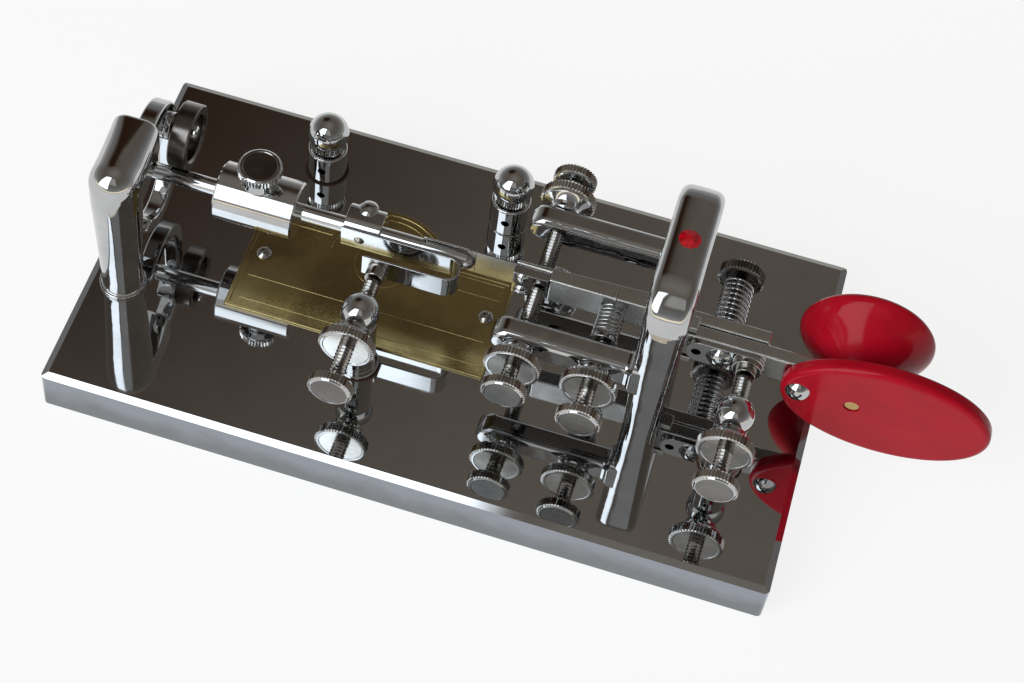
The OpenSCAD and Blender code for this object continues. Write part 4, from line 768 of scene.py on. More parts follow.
def threaded(piece, where, low, high, radius, pitch=PITCH, material=THREAD):
    """A threaded rod: a plain core and a sharp ridge wound on it"""
    ridge = pitch * 0.5
    core, length = radius - ridge, high - low - 2 * ridge
    lathe(piece, bar(core, low, high), where, material, 0.1, 32)
    return grow(piece, COIL, where @ Matrix.Translation((0, 0, low + ridge)), material, limit=20.0,
                Radius=core, Wire=ridge, Sides=4, Turns=length / pitch, Height=length, Steps=24)


def head_shape(radius, height, slot=0.0, depth=0.45, cross=False):
    """A domed head that stands on z = 0, with a screwdriver slot or cross if it has one"""
    ball = (radius * radius + height * height) / (2 * height)
    edge = math.degrees(math.asin((ball - height) / ball))
    head = lathe(Piece(), [(0, -0.25), (radius, -0.25)] + bend(0, height - ball, ball, edge, 90, 9),
                 UPRIGHT, CHROME, 0.06, 40)
    reach = 0.55 * radius if cross else 2 * radius
    knives = [block((-x, -y, height - depth), (x, y, height + 1), 0, CHROME)
              for x, y in ((reach, slot / 2), (slot / 2, reach))[:1 + cross]]
    return cut(head, *knives) if slot else head


def heads(piece, shape, places, material=CHROME, seed=3):
    """Copies of a head on places, each a point and the way it faces"""
    base = put("head", shape.mesh("head", False))
    mesh = bpy.data.meshes.new("places")
    mesh.from_pydata([p for p, _ in places], [], [])
    mesh.attributes.new("facing", "FLOAT_VECTOR", "POINT").data.foreach_set(
        "vector", [c for _, facing in places for c in facing])
    grow(piece, HEADS, UPRIGHT, material, mesh, Head=base, Seed=seed)
    bpy.data.objects.remove(base)
    return piece


def wire(piece, points, radius, material, sides=10):
    mesh = bpy.data.meshes.new("line")
    mesh.from_pydata(points, [(k, k + 1) for k in range(len(points) - 1)], [])
    return grow(piece, WIRE, UPRIGHT, material, mesh, 60.0, Wire=radius, Sides=sides)


# Base: slab, feet, name plate

RIM, RIM_IN, RIM_SHARE = 0.9, 0.6, 0.8
SLAB_EDGE, LEAST_EDGE = 0.4, math.radians(18)
FOOT_PLACE = (72.05, 33.95)


def build_slab():
    """A copy of the slab with flat faces whole again, a wider and flatter rim, and rounded edges"""
    bm = bmesh.new()
    bm.from_mesh(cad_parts["base_plate"].data)
    bmesh.ops.remove_doubles(bm, verts=bm.verts, dist=2e-6)
    bmesh.ops.dissolve_limit(bm, angle_limit=math.radians(0.5), verts=bm.verts, edges=bm.edges)
    for v in bm.verts:
        z = v.co.z / MM
        if z > TOP - 0.01:
            for k, centre, size in ((0, -MIDDLE_X, BASE_L), (1, 0, BASE_W)):
                side = v.co[k] / MM - centre
                if abs(abs(side) - (size / 2 - RIM)) < 0.02:
                    v.co[k] -= math.copysign(RIM_IN, side) * MM
        elif z > TOP - RIM - 0.01:
            v.co.z = (TOP - (TOP - z) * RIM_SHARE) * MM
    edges = [e for e in bm.edges if len(e.link_faces) == 2 and e.calc_face_angle(0) > LEAST_EDGE]
    round_edges(bm, edges, SLAB_EDGE * MM, 3)
    bmesh.ops.transform(bm, matrix=Matrix.Scale(1 / MM, 4), verts=bm.verts)
    bmesh.ops.translate(bm, vec=(MIDDLE_X, 0, 0), verts=bm.verts)
    dressed(from_bmesh(Piece(), bm, SLAB_WITH_PAINTED_SHADE), "base_plate", name="slab")


def build_base():
    build_slab()
    feet = Piece()
    for sx in (-1, 1):
        for sy in (-1, 1):
            lathe(feet, [(2.9, 3), (2.9, 0), (6.3, 0), (6.5, 3), (2.9, 3)],
                  axis_frame((sx * FOOT_PLACE[0], sy * FOOT_PLACE[1], 0), UP), RUBBER, 0.5, 48)
    dressed(feet, "rubber_feet", "base", "foot_rubber", "feet")
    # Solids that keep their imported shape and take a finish
    for names, material in (("foot_screws frame_screws pivot_nut post_screws damper_screw", TURNED),
                            ("insulating_bushings insulating_washers", FIBRE), ("wiring_straps", BRASS)):
        for name in names.split():
            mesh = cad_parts[name].data
            mesh.materials.clear()
            mesh.materials.append(material)


PLATE_T, PLATE_FIELD, PLATE_CORNER = 0.6, 0.38, 0.5
# The plate's edge from below: how far each line is in from its outline, and its height
PLATE_EDGE = ((0.12, 0), (0, 0.12), (0, 0.46), (0.05, 0.55), (0.16, PLATE_T), (0.95, PLATE_T), (1.05, 0.56),
              (1.12, PLATE_FIELD))
PLATE_BANDS, BAND_END, PLATE_BOX = (-10.6, -4.2), 2.6, ((-4.4, 7.6), (7.8, 7.6), (7.8, 11.6), (-4.4, 11.6))
LOBE_LINE_R, LOBE_RING_R, LOBE_LINE_Y = 12.6, 6.4, 9.4


def plate_outline(inset):
    """The plate's edge moved inward: a rectangle with a round lobe on its back edge"""
    c, (x, y, r) = PLATE_CORNER, LOBE
    x0, y0, x1, y1 = PLATE[0] + inset + c, PLATE[1] + inset + c, PLATE[2] - inset - c, PLATE[3] - inset - c
    start = math.degrees(math.asin((y1 + c - y) / (r - inset)))
    return (bend(x0, y0, c, 180, 270, 3) + bend(x1, y0, c, 270, 360, 3) + bend(x1, y1, c, 0, 90, 3)
            + bend(x, y, r - inset, start, 180 - start, 40) + bend(x0, y1, c, 90, 180, 3))


def build_plate():
    plate = loft(Piece(), [[(x, y, TOP + z) for x, y in plate_outline(inset)] for inset, z in PLATE_EDGE],
                 BRASS_PLATE)
    start = math.degrees(math.asin((LOBE_LINE_Y - LOBE[1]) / LOBE_LINE_R))
    lines = [([(PLATE[0] + BAND_END, y), (PLATE[2] - BAND_END, y)], 0.13) for y in PLATE_BANDS]
    lines.append(((*PLATE_BOX, PLATE_BOX[0]), 0.13))
    lines.append((bend(*LOBE[:2], LOBE_LINE_R, start, 180 - start, 60), 0.15))
    lines.append((bend(*LOBE[:2], LOBE_RING_R, 0, 360, 60), 0.15))
    for points, radius in lines:
        wire(plate, [(x, y, TOP + PLATE_FIELD - 0.03) for x, y in points], radius, BRASS_PLATE, 8)
    dressed(plate, "name_plate", "base", "plate_brass")
    pins = heads(Piece(), head_shape(1.8, 0.9), [((*p, TOP + PLATE_T), UP) for p in PLATE_PINS], SILVER)
    for p in PLATE_PINS:
        lathe(pins, bar(0.8, TOP - 3.7, TOP + PLATE_T), axis_frame((*p, 0), UP), SILVER, 0.1, 24)
    dressed(pins, "plate_pins")


# Yoke: an arch with rounded edges, and two round-ended arms that blend into its legs

ARCH_EDGE, ARCH_INNER_EDGE, ARCH_CROWN = 2.1, 1.1, 0.3
ARM_FLARE, ARM_EDGE, ARM_TIP_THIN = 1.7, 1.7, 1.3


def arch_section(outer, inner, w_out, w_in):
    """A rounded section between an outer and an inner point of the arch, given in Y and Z"""
    reach = Vector(outer) - Vector(inner)
    length, way = reach.length, reach.normalized()
    flat, edge = w_out / 2 - ARCH_EDGE, ARCH_INNER_EDGE
    points = bend(flat, length - ARCH_EDGE, ARCH_EDGE, 0, 90, 5)
    points += [(flat * (1 - k / 3), length) for k in range(1, 6)]
    points += bend(-flat, length - ARCH_EDGE, ARCH_EDGE, 90, 180, 5)
    points += bend(edge - w_in / 2, edge, edge, 180, 270, 4)
    points += bend(w_in / 2 - edge, edge, edge, 270, 360, 4)
    out = []
    for x, u in points:
        if u > length / 2:
            u -= ARCH_CROWN * (2 * x / w_out) ** 2
        spot = Vector(inner) + way * u
        out.append((PIVOT_X + x, MECH_Y + spot.x, TOP + spot.y))
    return out


def width_at(z):
    return LEG_W + (CROWN_W - LEG_W) * z / YOKE_H


def build_yoke():
    outer_y, inner_y = YOKE_SPAN / 2, YOKE_SPAN / 2 - YOKE_WALL
    outer_z, inner_z = YOKE_H - SHOULDER_R, YOKE_H - YOKE_WALL - INNER_R
    half = [((-outer_y, outer_z * k / 8), (-inner_y, inner_z * k / 8)) for k in range(8)]
    half += zip(bend(SHOULDER_R - outer_y, outer_z, SHOULDER_R, 180, 90, 15),
                bend(INNER_R - inner_y, inner_z, INNER_R, 180, 90, 15))
    crown = [((k / 4 * (outer_y - SHOULDER_R), YOKE_H), (k / 4 * (inner_y - INNER_R), YOKE_H - YOKE_WALL))
             for k in range(-3, 4)]
    other = [((-a, b), (-c, d)) for (a, b), (c, d) in half[-2::-1]]
    sections = [arch_section(o, i, width_at(o[1]), width_at(i[1])) for o, i in half + crown + other]
    yoke = loft(Piece(), sections, CAST)
    for side in (-1, 1):
        build_arm(yoke, side)
    dressed(yoke, "yoke_frame", name="yoke")


def rounded_rectangle(half_w, half_h, r, steps=6):
    r = min(r, half_w, half_h)
    return [p for sx, sy, a in ((1, 1, 0), (-1, 1, 90), (-1, -1, 180), (1, -1, 270))
            for p in bend(sx * (half_w - r), sy * (half_h - r), r, a, a + 90, steps)]


def build_arm(yoke, side):
    """An arm from inside its leg, flared where it leaves the leg, to a round end"""
    tip_r, half_t = ARM_H / 2, ARM_T / 2
    flare_x = PIVOT_X - width_at(AXIS - TOP) / 2 + 0.1 - ARM_FLARE
    tip_x = PIVOT_X - ARM_REACH + tip_r
    stations = [(PIVOT_X - 0.5, ARM_FLARE)]
    stations += [(x, ARM_FLARE - z) for x, z in bend(flare_x, 0, ARM_FLARE, 0, 90, 10)]
    stations += [(x, 0) for x in (RETURN_X, 25, tip_x + 3)]
    sections = [(x, half_t + min(more, 0.5), tip_r + more, ARM_EDGE) for x, more in stations]
    for k in range(12):
        a = math.radians(90 * k / 11.6)
        half = max(tip_r * math.cos(a), 0.12)
        thin = half_t - ARM_TIP_THIN * (1 - math.sqrt(max(0.0, 1 - math.sin(a) ** 8)))
        sections.append((tip_x - tip_r * math.sin(a), max(thin, 0.4), half, min(ARM_EDGE, half * 0.98)))
    loft(yoke, [[(x, MECH_Y + side * ARM_OFF + u, AXIS + v) for u, v in rounded_rectangle(*section)]
                for x, *section in sections], CAST, 60)


# Turned parts shared by the adjusters

def adjuster(tip, head, where, name, body):
    """Adjusting screw: thread from its tip to a knurled head with a satin face and a bright rim"""
    piece = Piece()
    threaded(piece, where, tip, head + 0.4, THREAD_R)
    r, face = HEAD_D / 2, head + HEAD_T
    rim, root, dished = r - 0.95, r - KNURL_DEEP, face - 0.12
    lathe(piece, [(0, head), (rim, head), (root, head + 0.32), (root, face - 0.3), (r - 0.75, face),
                  (rim, face)],
          where, CHROME, 0.12)
    lathe(piece, [(rim, face), (r - 1.1, dished), (0, dished)], where, SATIN, 0.06)
    knurl(piece, where, r, head + 0.2, face - 0.25, 41)
    dressed(piece, name + "_screw", body)


def lock_nut(low, where, name):
    """Lock nut: a hub, a bell that flares to a knurled rim, and a dished bright face"""
    piece = Piece()
    hub, r, bore = NUT_HUB_D / 2, NUT_D / 2, THREAD_R + 0.05
    face = low + NUT_L
    rim, root = face - NUT_RIM_T, r - KNURL_DEEP
    seat, lip = (bore, low + 0.02), (r - 1.4, face - 0.3)
    outside = [seat, (hub - 0.5, low), (hub, low + 0.35), (hub, low + 1.1), (hub + 0.35, low + 1.75),
               (hub + 1.1, low + 2.4), (hub + 2.0, low + 2.9), (r - 0.55, rim + 0.1), (root, rim + 0.4),
               (root, face - 0.35), (r - 0.5, face - 0.02), (r - 1.1, face), lip]
    inside = [lip, (r - 1.7, face - 0.42), (THREAD_R + 1.3, face - 0.9), (THREAD_R + 0.3, face - 0.75),
              (bore, face - 0.9), seat]
    lathe(piece, outside, where, CHROME, 0.18, 96)
    lathe(piece, inside, where, DISH, 0.12, 96)
    knurl(piece, where, r, rim + 0.1, face - 0.12, 50)
    dressed(piece, name + "_nut", name + "_lock")


# Each adjuster: place, side, tip, its nut's seat, length of thread between nut and head
ADJUSTERS = {"dot_stop": (STOP_X, -1, 2.9, ARM_FACE, 4.2), "return": (RETURN_X, -1, 10.22, ARM_FACE, 5.8),
             "back_stop": (STOP_X, 1, 1.736, ARM_FACE, 3.4), "dot_contact": (DOT_X, -1, 12.5, 25.4, 8.6),
             "dash_contact": (DASH_X, -1, 9.8, 23.8, 6.6)}


def build_adjusters():
    for name, (x, side, tip, seat, neck) in ADJUSTERS.items():
        where = level(x, MECH_Y, (0, side, 0))
        adjuster(tip, seat + NUT_L + neck, where, name, name if name != "return" else "return_adjuster")
        lock_nut(seat, where, name)
    cup = lathe(Piece(), bar(3.3, 10.6, 11.6), level(RETURN_X, MECH_Y, FRONT), TURNED, 0.15, 48)
    dressed(cup, "return_seat", "return_adjuster")


# Posts

POST_FOOT_R, POST_R, POST_NECK_R, BALL_R = 4.8, 3.8, 3.3, 4.4
BINDING_R, BINDING_H, WIRE_HOLE_R, WIRE_HOLE_UP = 4.6, 8.8, 1, 4.6
DOME_R, BINDING_GAP = 4.8, 0.5


def build_posts():
    for name, x, y in (("dot_post", DOT_X, DOT_POST_Y), ("dash_post", DASH_X, DASH_POST_Y)):
        path = [(0, TOP), (POST_FOOT_R, TOP), (POST_FOOT_R, TOP + 1.2), (POST_R, TOP + 1.2, 0.1),
                (POST_R, AXIS - 3.6), (POST_NECK_R, AXIS - 3.3), (POST_NECK_R, AXIS - 2.85)]
        path += bend(0, AXIS, BALL_R, -40.4, 90, 22)
        dressed(lathe(Piece(), path, axis_frame((x, y, 0), UP), CHROME, 0.22), name)
    for side, x in BINDINGS.items():
        where = axis_frame((x, BINDING_Y, 0), UP)
        high = TOP + BINDING_H
        post = lathe(Piece(), [(0, TOP), (BINDING_R, TOP), (BINDING_R, high), (3.4, high), (0, TOP + 8.3)],
                     where, CHROME, 0.5)
        post = drilled(post, WIRE_HOLE_R, -9, 9, axis_frame((x, BINDING_Y, TOP + WIRE_HOLE_UP), BACK))
        dressed(post, "binding_post_" + side)
        low = high + BINDING_GAP
        path = [(0, low - 3.3), (1.5, low - 3.3), (1.5, low), (3.5, low), (3.8, low + 0.3),
                (3.8, low + 3.2), (4.2, low + 3.4)] + bend(0, low + 4.6, DOME_R, -14.5, 90, 20)
        nut = lathe(Piece(), path, where, CHROME, 0.18)
        dressed(knurl(nut, where, 4.12, low + 0.15, low + 3.3, 38), "binding_nut_" + side, side + "_nut")


# Pivot, levers and springs

JEWEL_R, JEWEL_DEEP, FACETS = 2.45, -3.2, 10
SHAFT_R, SHAFT_PIN_R, SHAFT_LOW, SHAFT_HIGH = 1.6, 0.8, 19.2, 60.8


def build_pivot():
    where = axis_frame((PIVOT_X, MECH_Y, 0), UP)
    path = [(0, 3.3), (3, 3.3), (3, 19.1), (0.85, 19.1), (0.85, 17)]
    screw = lathe(Piece(), path, where, TURNED, 0.3, 48)
    dressed(screw, "pivot_screw")
    shaft = lathe(Piece(), [(0, 17.4), (SHAFT_PIN_R, 17.4), (SHAFT_PIN_R, SHAFT_LOW), (SHAFT_R, SHAFT_LOW),
                            (SHAFT_R, SHAFT_HIGH), (SHAFT_PIN_R, SHAFT_HIGH), (SHAFT_PIN_R, 62.6),
                            (0, 62.6)],
                  where, TURNED, 0.12, 40)
    dressed(shaft, "pivot_shaft", "dot_lever")
    points = [(PIVOT_X, MECH_Y, YOKE_TOP + 0.5), (PIVOT_X, MECH_Y, YOKE_TOP + JEWEL_DEEP)]
    for r, z, start in ((1.0, 0.42, 180 / FACETS), (JEWEL_R, 0.05, 0), (JEWEL_R, JEWEL_DEEP, 0)):
        points += [(*p, YOKE_TOP + z) for p in bend(PIVOT_X, MECH_Y, r, start, start + 360, FACETS)[:-1]]
    faces = []
    for k in range(FACETS):
        (a, b, c), (d, e, f) = ([2 + i + row * FACETS for row in range(3)] for i in (k, (k + 1) % FACETS))
        faces += [[0, a, d], [a, b, e], [a, e, d], [b, c, f, e], [1, f, c]]
    dressed(outward(Piece(), [Vector(p) for p in points], faces, JEWEL, 5), "pivot_jewel", "base",
            "red_jewel")


LEVER_REACH, CLAMP_SCREW_X, CLAMP_SCREW_UP, FINGER_REACH = 22.3, 13.2, 2.3, 44.5


def build_dot_lever():
    clamp_x, end_x = LEVER_LEFT_X + CLAMP_L, PIVOT_X + LEVER_REACH
    outline = [(LEVER_LEFT_X, SPRING_BACK_Y), (clamp_x, SPRING_BACK_Y), (clamp_x, SHARED_Y),
               (end_x, SHARED_Y), (end_x, RIGHT_BACK_Y), (PIVOT_X + 3.5, RIGHT_BACK_Y),
               (PIVOT_X, SHARED_Y + 4.8), (LEVER_LEFT_X, SHARED_Y + 3.2)]
    lever = prism(Piece(), outline, level(0, 0, UP), -LEVER_HALF, LEVER_HALF, 0.5, LEVER)
    lever = drilled(lever, 0.42, LEVER_HALF - 1.6, LEVER_HALF + 1, level(RETURN_X, SHARED_Y + 1.3, UP), 24)
    lathe(lever, bar(HUB_R, -HUB_HALF, HUB_HALF), level(PIVOT_X, MECH_Y, UP), CHROME, 0.35, 64)
    dressed(lever, "dot_lever", "dot_lever")
    clamp = block((LEVER_LEFT_X, CLAMP_Y, AXIS - SPRING_HALF),
                  (clamp_x, SPRING_FRONT_Y, AXIS + SPRING_HALF), 0.25, CHROME)
    dressed(clamp, "spring_clamp", "dot_lever")
    spots = [(CLAMP_SCREW_X, CLAMP_Y, AXIS + z) for z in (-CLAMP_SCREW_UP, CLAMP_SCREW_UP)]
    screws = heads(Piece(), head_shape(1.6, 0.9, 0.34), [(spot, FRONT) for spot in spots], seed=5)
    for spot in spots:
        lathe(screws, bar(0.7, 0, 3.6), axis_frame(spot, BACK), TURNED, 0.05, 24)
    dressed(screws, "clamp_screws", "dot_lever")
    dressed(flat_spring(FERRULE_X, clamp_x), "main_spring", "dot_lever", "spring_steel")


def flat_spring(left, right):
    return block((left, SPRING_FRONT_Y, AXIS - SPRING_HALF), (right, SPRING_BACK_Y, AXIS + SPRING_HALF),
                 0.08, SPRING, 2)


HOOK, COIL_R, COIL_TURNS, COIL_LEAD, COIL_STEPS = 1.3, 2.75, 7, 0.75, 28


def build_springs():
    """The return spring, hooked over the dot lever's top edge, and the dash spring"""
    top = LEVER_HALF
    local = [(0, -HOOK, top - 0.8), (0, -HOOK, top + 0.2), (0, -HOOK * 0.94, top + 0.42),
             (0, -HOOK * 0.75, top + 0.62), (0, -HOOK / 2, top + 0.72), (0, -0.2, top + 0.7),
             (0, 0.25, top + 0.5), (0, 0.5, top + 0.1), (0, 0.58, top - 0.5)]
    total = COIL_TURNS * COIL_STEPS
    for k in range(total + 1):
        a = 2 * math.pi * k / COIL_STEPS
        local.append((COIL_R * math.sin(a), COIL_LEAD + (RETURN_L - 2 * COIL_LEAD) * k / total,
                      COIL_R * math.cos(a)))
    local.append((0, RETURN_L, COIL_R))
    spring = wire(Piece(), [(RETURN_X - x, SHARED_Y - y, AXIS + z) for x, y, z in local], 0.25, SPRING)
    dressed(spring, "return_spring", "dot_lever", "spring_steel")
    spring = grow(Piece(), COIL, level(DASH_SCREW_X, RIGHT_BACK_Y + 0.3, BACK), BRIGHT_SPRING,
                  limit=60.0, Radius=3.225, Wire=0.275, Sides=10, Turns=9.0, Height=DASH_SPRING_L - 1.0,
                  Steps=32)
    dressed(spring, "dash_spring", "dot_lever", "spring_steel")


FORK_X, FORK_T, FORK_ARM_T, FORK_HALF, FINGER_HOLE_X = 50.4, 2.6, 1.8, 6.65, 53.8


def build_finger_lever():
    finger = {"body": "finger_lever"}
    lever = Piece()
    for right, half, edge in ((PIVOT_X + FINGER_REACH, LEVER_HALF, 0.5), (FORK_X + FORK_T, FORK_HALF, 0.3)):
        block((FORK_X, FINGER_FRONT_Y, AXIS - half), (right, FINGER_BACK_Y, AXIS + half), edge, LEVER,
              piece=lever)
    lever = drilled(lever, 1.1, -3, 3, level(FINGER_HOLE_X, -1, BACK))
    outline = bend(PIVOT_X, MECH_Y, HUB_R, 0, 270, 45) + [
        (PIVOT_X, FINGER_FRONT_Y), (FORK_X + FORK_T, FINGER_FRONT_Y), (FORK_X + FORK_T, FINGER_BACK_Y),
        (PIVOT_X + HUB_R, FINGER_BACK_Y)]
    for low in (-FORK_HALF, FORK_HALF - FORK_ARM_T):
        prism(lever, outline, level(0, 0, UP), low, low + FORK_ARM_T, 0.25, LEVER)
    dressed(lever, "finger_lever", **finger)

    strap = prism(Piece(), rounded_rectangle(8.7, 3.5, 3.15, 8),
                  level(DASH_SCREW_X + 1.1, FINGER_FRONT_Y, FRONT), 0, STRAP_T, 0.22, CHROME)
    dressed(drilled(strap, 1.1, -3, 3, level(FINGER_HOLE_X, STRAP_Y, BACK)), "dash_strap", **finger)

    path = [(0, -0.1), (3.3, -0.1), (3.3, 1.1), (2.2, 1.1, 0.08), (2.2, 2.5), (0, 2.5)]
    point = lathe(Piece(), path, level(DASH_X, STRAP_Y, FRONT), SILVER, 0.2, 56)
    dressed(point, "dash_contact_point", slot="contact_metal", **finger)

    spot = (DASH_SCREW_X, STRAP_Y, AXIS)
    screw = heads(Piece(), head_shape(3.0, 1.7, 0.62, 0.9, True), [(spot, FRONT)], seed=2)
    dressed(threaded(screw, axis_frame(spot, BACK), 0, 24.6, 1.3, 0.6, SMOKED), "dash_spring_screw",
            **finger)

    where = level(DASH_SCREW_X, DASH_KNOB_Y, BACK)
    knob = lathe(Piece(), [(1.35, 0), (4.3, 0), (5.0, 0.35), (5.0, 2.45), (4.5, 2.8), (3.9, 2.8),
                           (3.6, 2.6), (1.35, 2.6), (1.35, 0)], where, SMOKED, 0.12)
    dressed(knurl(knob, where, 5.3, 0.2, 2.6, 44, DARK), "dash_spring_knob", "dash_knob", "dark_plating")


PADDLE_HALF, PADDLE_UP = (22.95, 14.6), -0.5
FRONT_ROUND, BACK_ROUND = 1.5, 1.15
KNOB_NECK, KNOB_RIM, KNOB_FLARE = 4.8, 14.9, 10.9


def build_finger_pieces():
    front, back = PADDLE_Y, FINGER_FRONT_Y
    edge = bend(back - BACK_ROUND, BACK_ROUND, -BACK_ROUND, 180, 270, 6)
    edge = [(y, 2 * BACK_ROUND - inset) for y, inset in edge]
    edge += bend(front + FRONT_ROUND, FRONT_ROUND, FRONT_ROUND, 270, 180, 9)
    rows = []
    for y, inset in edge:
        rows.append([(PADDLE_X + (PADDLE_HALF[0] - inset) * c, y,
                      AXIS + PADDLE_UP + (PADDLE_HALF[1] - inset) * s)
                     for c, s in bend(0, 0, 1, 0, 360, 120)[:-1]])
    paddle = drilled(loft(Piece(), rows, RED, 60), 1.75, -3, 6, level(KNOB_X, back, FRONT), 40)
    dressed(paddle, "thumb_paddle", "finger_lever", "red_plastic")

    spot = (PADDLE_SCREW_X, front, AXIS)
    screw = heads(Piece(), head_shape(2.75, 1.75, 0.6, 0.9, True), [(spot, FRONT)], seed=8)
    dressed(lathe(screw, bar(1.2, 0, 7.1), axis_frame(spot, BACK), TURNED, 0.1, 32), "paddle_screw",
            "finger_lever")

    stud = lathe(Piece(), bar(1.7, 0, 12.8), level(KNOB_X, front + 0.3, BACK), BRASS, 0.2, 40)
    dressed(stud, "knob_stud", "finger_lever", "plain_brass")

    flare = [(KNOB_NECK + (KNOB_RIM - 0.1 - KNOB_NECK) * (0.45 * s + 0.55 * s * s * (3 - 2 * s)),
              KNOB_FLARE * s)
             for s in (k / 16 for k in range(17))]
    profile = [(0, 0)] + flare + [(KNOB_RIM, 11.6, 0.5), (KNOB_RIM - 0.5, 12.5, 0.7), (12.6, 12.5, 1.0),
                                  (11.4, 12.05, 1.0), (6, 11.6), (0, 11.5)]
    knob = lathe(Piece(), profile, level(KNOB_X, FINGER_BACK_Y, BACK), RED, 0.5, 112, 5)
    dressed(knob, "finger_knob", "finger_lever", "red_plastic")


# Pendulum

WEIGHT_R, WEIGHT_HALF, THUMB_SCREW_UP = 6.7, 9.3, 6.8
RIVETS_X, RIVET_OUT = (-1.72, -7.3), 2.3


def build_pendulum():
    left = PIVOT_X - ROD_REACH + ROD_R
    path = bend(0, left, ROD_R, -90, 0, 9) + [(ROD_R, FERRULE_LEFT_X - 0.05), (ROD_R, FERRULE_LEFT_X),
                                              (FERRULE_R, FERRULE_LEFT_X)]
    path += bend(0, FERRULE_X - FERRULE_R, FERRULE_R, 0, 90, 9)
    rod = lathe(Piece(), path, level(0, MECH_Y, RIGHT, UP), TURNED, 0.12, 64)
    slit = block((-9.8, SPRING_FRONT_Y - 0.05, AXIS - 5), (3.5, SPRING_BACK_Y + 0.05, AXIS + 5), 0, TURNED)
    dressed(cut(rod, slit), "pendulum_rod", "pendulum", name="rod")
    show(flat_spring(-9.5, FERRULE_X), "main_spring_root", "pendulum", "spring_steel")
    places = [((x, MECH_Y + s * RIVET_OUT, AXIS), (0, s, 0)) for x in RIVETS_X for s in (-1, 1)]
    dressed(heads(Piece(), head_shape(0.85, 0.22), places, seed=4), "rod_rivets", "pendulum", name="rivets")

    weight = lathe(Piece(), like_ends((1.96, -WEIGHT_HALF), (6.3, -WEIGHT_HALF), (WEIGHT_R, -8.9)),
                   level(WEIGHT_X, MECH_Y, RIGHT, UP), TURNED, 0.12, 112)
    dressed(weight, "pendulum_weight", "weight", name="weight_drum")
    where = axis_frame((WEIGHT_X, MECH_Y, AXIS + THUMB_SCREW_UP), UP)
    screw = lathe(Piece(), [(0, -4.7), (1.6, -4.7), (1.6, 0), (3.9, 0), (3.7, 0.5), (2.75, 3.6), (4.2, 3.6),
                            (4.75, 3.9), (4.75, 5.75), (4.35, 6.0), (3.95, 6.0)], where, CHROME, 0.18)
    lathe(screw, [(3.95, 6.0), (3.75, 5.85), (0, 5.85)], where, DARK, 0.08)
    knurl(screw, where, 5.0, 3.75, 5.6, 42, depth=0.3)
    dressed(screw, "weight_thumb_screw", "thumb_screw", "dark_plating", "weight_screw")


STRIP_HALF, STRIP_T = 3.1, 0.5
SADDLE_L = 8.4


def build_contacts():
    middle_x = SADDLE_X + SADDLE_L / 2
    saddle = prism(Piece(), rounded_rectangle(4.0, 3.2, 2.8, 10),
                   level(SADDLE_X, MECH_Y + 1.4, RIGHT, BACK), 0, SADDLE_L, 0.2, BRIGHT_SPRING, 2)
    knife = block((SADDLE_X - 1, MECH_Y + 1.5, AXIS - 0.45),
                  (SADDLE_X + SADDLE_L + 1, MECH_Y + 7, AXIS + 0.45), 0, CHROME)
    saddle = heads(cut(saddle, knife), head_shape(1.2, 0.4), [((middle_x, -0.5, AXIS), FRONT)], SILVER, 4)
    dressed(saddle, "contact_saddle", "pendulum", name="saddle")
    spot = (middle_x, MECH_Y + 3.7, AXIS + 3.2)
    screw = heads(Piece(), head_shape(2.2, 0.9, 0.42), [(spot, UP)], seed=6)
    dressed(lathe(screw, bar(0.7, -6.4, 0), axis_frame(spot, UP), TURNED, 0.05, 24), "saddle_screw",
            "pendulum")

    front_y = -2 * BEND_R
    path = [(SADDLE_X, 0.0), (BEND_X - 12, 0.0), (BEND_X, 0.0)]
    path += bend(BEND_X, -BEND_R, BEND_R, 90, -90, 18)[1:-1]
    path += [(BEND_X, front_y), (BEND_X - 8, front_y), (DOT_X - 3.6, front_y)]
    rows = []
    for k, (x, y) in enumerate(path):
        way = (Vector(path[min(k + 1, len(path) - 1)]) - Vector(path[max(k - 1, 0)])).normalized()
        if y in (0.0, front_y):
            way = Vector((1 if y == 0.0 else -1, 0))
        rows.append([(x + way.y * (STRIP_T / 2 + u), y - way.x * (STRIP_T / 2 + u), AXIS + z)
                     for u, z in rounded_rectangle(STRIP_T / 2, STRIP_HALF, 0.14, 3)])
    dressed(loft(Piece(), rows, BRIGHT_SPRING, 60), "dot_contact_spring", "pendulum", "spring_steel",
            "dot_contact_strip")
    point = lathe(Piece(), [(0, -0.55), (1.2, -0.55), (1.2, 0), (2.2, 0), (2.2, 3), (0, 3)],
                  level(DOT_X, front_y, FRONT), SILVER, 0.3, 56)
    dressed(point, "dot_contact_point", "pendulum", "contact_metal", "dot_contact_button")


# Damper

HEAD_R, HEAD_LOW, HEAD_TOP, HEAD_BALL, HEAD_BACK_Y = 5.7, 31.9, 43.4, 37.7, -0.7
HEAD_BACK_HALF, HEAD_FALL, HEAD_BACK_R, HEAD_END_R, HEAD_LOW_R = (5.65, 4.9), 0.1, 3.53, 1.3, 0.25
HOOP_R, HOOP_HALF_W, HOOP_HALF_T, HOOP_ENDS = 9.15, 2.0, 1.65, (109, -152.3)
RING_HALF, RING_DROP, RING_LEAN = 2.2, 4.65, math.radians(22.5)


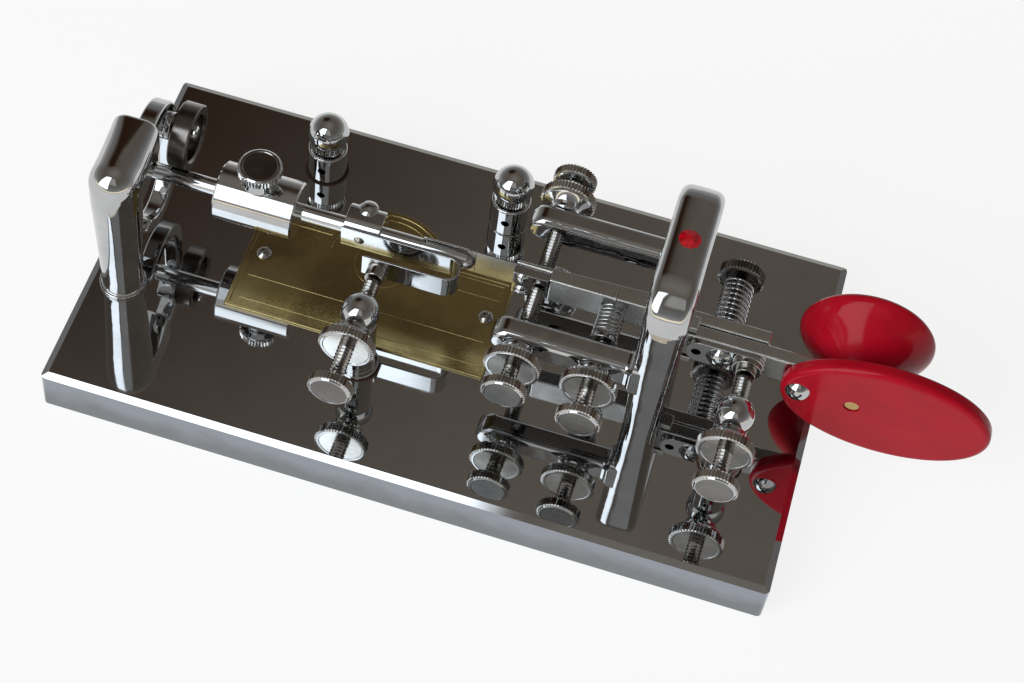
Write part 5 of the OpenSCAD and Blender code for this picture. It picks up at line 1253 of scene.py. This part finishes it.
def head_section(y, share, inset):
    """A section across the damper's head: an arch at the post that turns into a rounded block at the back"""
    left, right = (HEAD_R - (HEAD_R - w) * share - inset for w in HEAD_BACK_HALF)
    low, high = HEAD_LOW + inset, HEAD_TOP - HEAD_FALL * share - inset
    top_r = HEAD_R - 0.03 - (HEAD_R - HEAD_BACK_R) * share - inset
    low_r = HEAD_LOW_R + (HEAD_BACK_R - HEAD_LOW_R) * share - inset * share
    corners = ((right - top_r, high - top_r, top_r, 0), (top_r - left, high - top_r, top_r, 90),
               (low_r - left, low + low_r, low_r, 180), (right - low_r, low + low_r, low_r, 270))
    return [(px, DAMPER[1] + y, pz) for x, z, r, start in corners
            for px, pz in bend(DAMPER[0] + x, TOP + z, r, start, start + 90, 10)]


def build_damper():
    path = [(0, 0), (5.3, 0), (5.3, 0.9), (4.75, 1.15), (4.7, 2.0)]
    path += [(4.7 + (k / 10) ** 1.3, 2.0 + 29.9 * k / 10) for k in range(1, 11)]
    post = lathe(Piece(), path + bend(0, HEAD_BALL, HEAD_R, 0, 90, 16), axis_frame((*DAMPER, TOP), UP),
                 CAST, 0.25, 96)
    straight = HEAD_BACK_Y - DAMPER[1] - HEAD_END_R
    stations = [(k / 14 * straight, 0.0) for k in range(15)]
    stations += bend(straight, HEAD_END_R, HEAD_END_R, -90, 0, 6)[1:]
    loft(post, [head_section(y, min(1.0, y / straight) ** 2, inset) for y, inset in stations], CAST, 40)
    dressed(post, "damper_post", name="damper_column")

    path = [(HOOP_TOP_Z, *way) for way in bend(0, 0, 1, HOOP_ENDS[0], 0, 20)]
    path += [(HOOP_TOP_Z + (HOOP_LOW_Z - HOOP_TOP_Z) * k / 6, 1.0, 0.0) for k in range(1, 6)]
    path += [(HOOP_LOW_Z, *way) for way in bend(0, 0, 1, 0, HOOP_ENDS[1], 24)]
    rows = []
    for index, (centre_z, oy, oz) in enumerate(path):
        rest = min(1.0, (len(path) - 1 - index) / 2.0)
        thin = 0.55 + 0.45 * math.sqrt(1 - (1 - rest) ** 2)
        rows.append([(HOOP[0] + u * thin, HOOP[1] + (HOOP_R + v * thin) * oy,
                      centre_z + (HOOP_R + v * thin) * oz)
                     for u, v in rounded_rectangle(HOOP_HALF_W, HOOP_HALF_T, 0.7, 5)])
    hoop = loft(Piece(), rows, CHROME, 60)
    pin_y, pin_z = RING_PIN
    prism(hoop, bend(0, 0, 3.2, 0, 360, 48)[:-1], axis_frame((HOOP[0], *RING_PIN), RIGHT), -HOOP_HALF_W,
          HOOP_HALF_W, 0.35, CHROME)
    dressed(hoop, "damper_hoop", name="damper_band")

    face = HOOP[0] + HOOP_HALF_W
    shoulder = face + 1.1
    ring_x = shoulder + 0.3 + RING_HALF
    cap = ring_x + RING_HALF + 0.15
    pin = lathe(Piece(), [(0, face - 4), (0.8, face - 4), (0.8, face), (3.2, face), (3.2, shoulder),
                          (0.8, shoulder), (0.8, cap), (1.6, cap), (1.6, cap + 0.6), (1.0, cap + 0.9),
                          (0, cap + 0.9)], axis_frame((0, *RING_PIN), RIGHT, UP), CHROME, 0.2, 48)
    dressed(pin, "damper_pin", name="ring_pin")
    centre = (ring_x, pin_y + RING_DROP * math.sin(RING_LEAN), pin_z - RING_DROP * math.cos(RING_LEAN))
    where = axis_frame(centre, RIGHT, UP)
    ring = lathe(Piece(), like_ends((5.5, -1.7), (6.0, -RING_HALF), (7.3, -RING_HALF), (7.6, -1.9)), where,
                 SMOKED, 0.15, 112)
    dressed(ring, "damper_ring", "ring", "dark_plating")


for build in (build_base, build_plate, build_yoke, build_adjusters, build_posts, build_pivot,
              build_dot_lever, build_springs, build_finger_lever, build_finger_pieces, build_pendulum,
              build_contacts, build_damper):
    build()
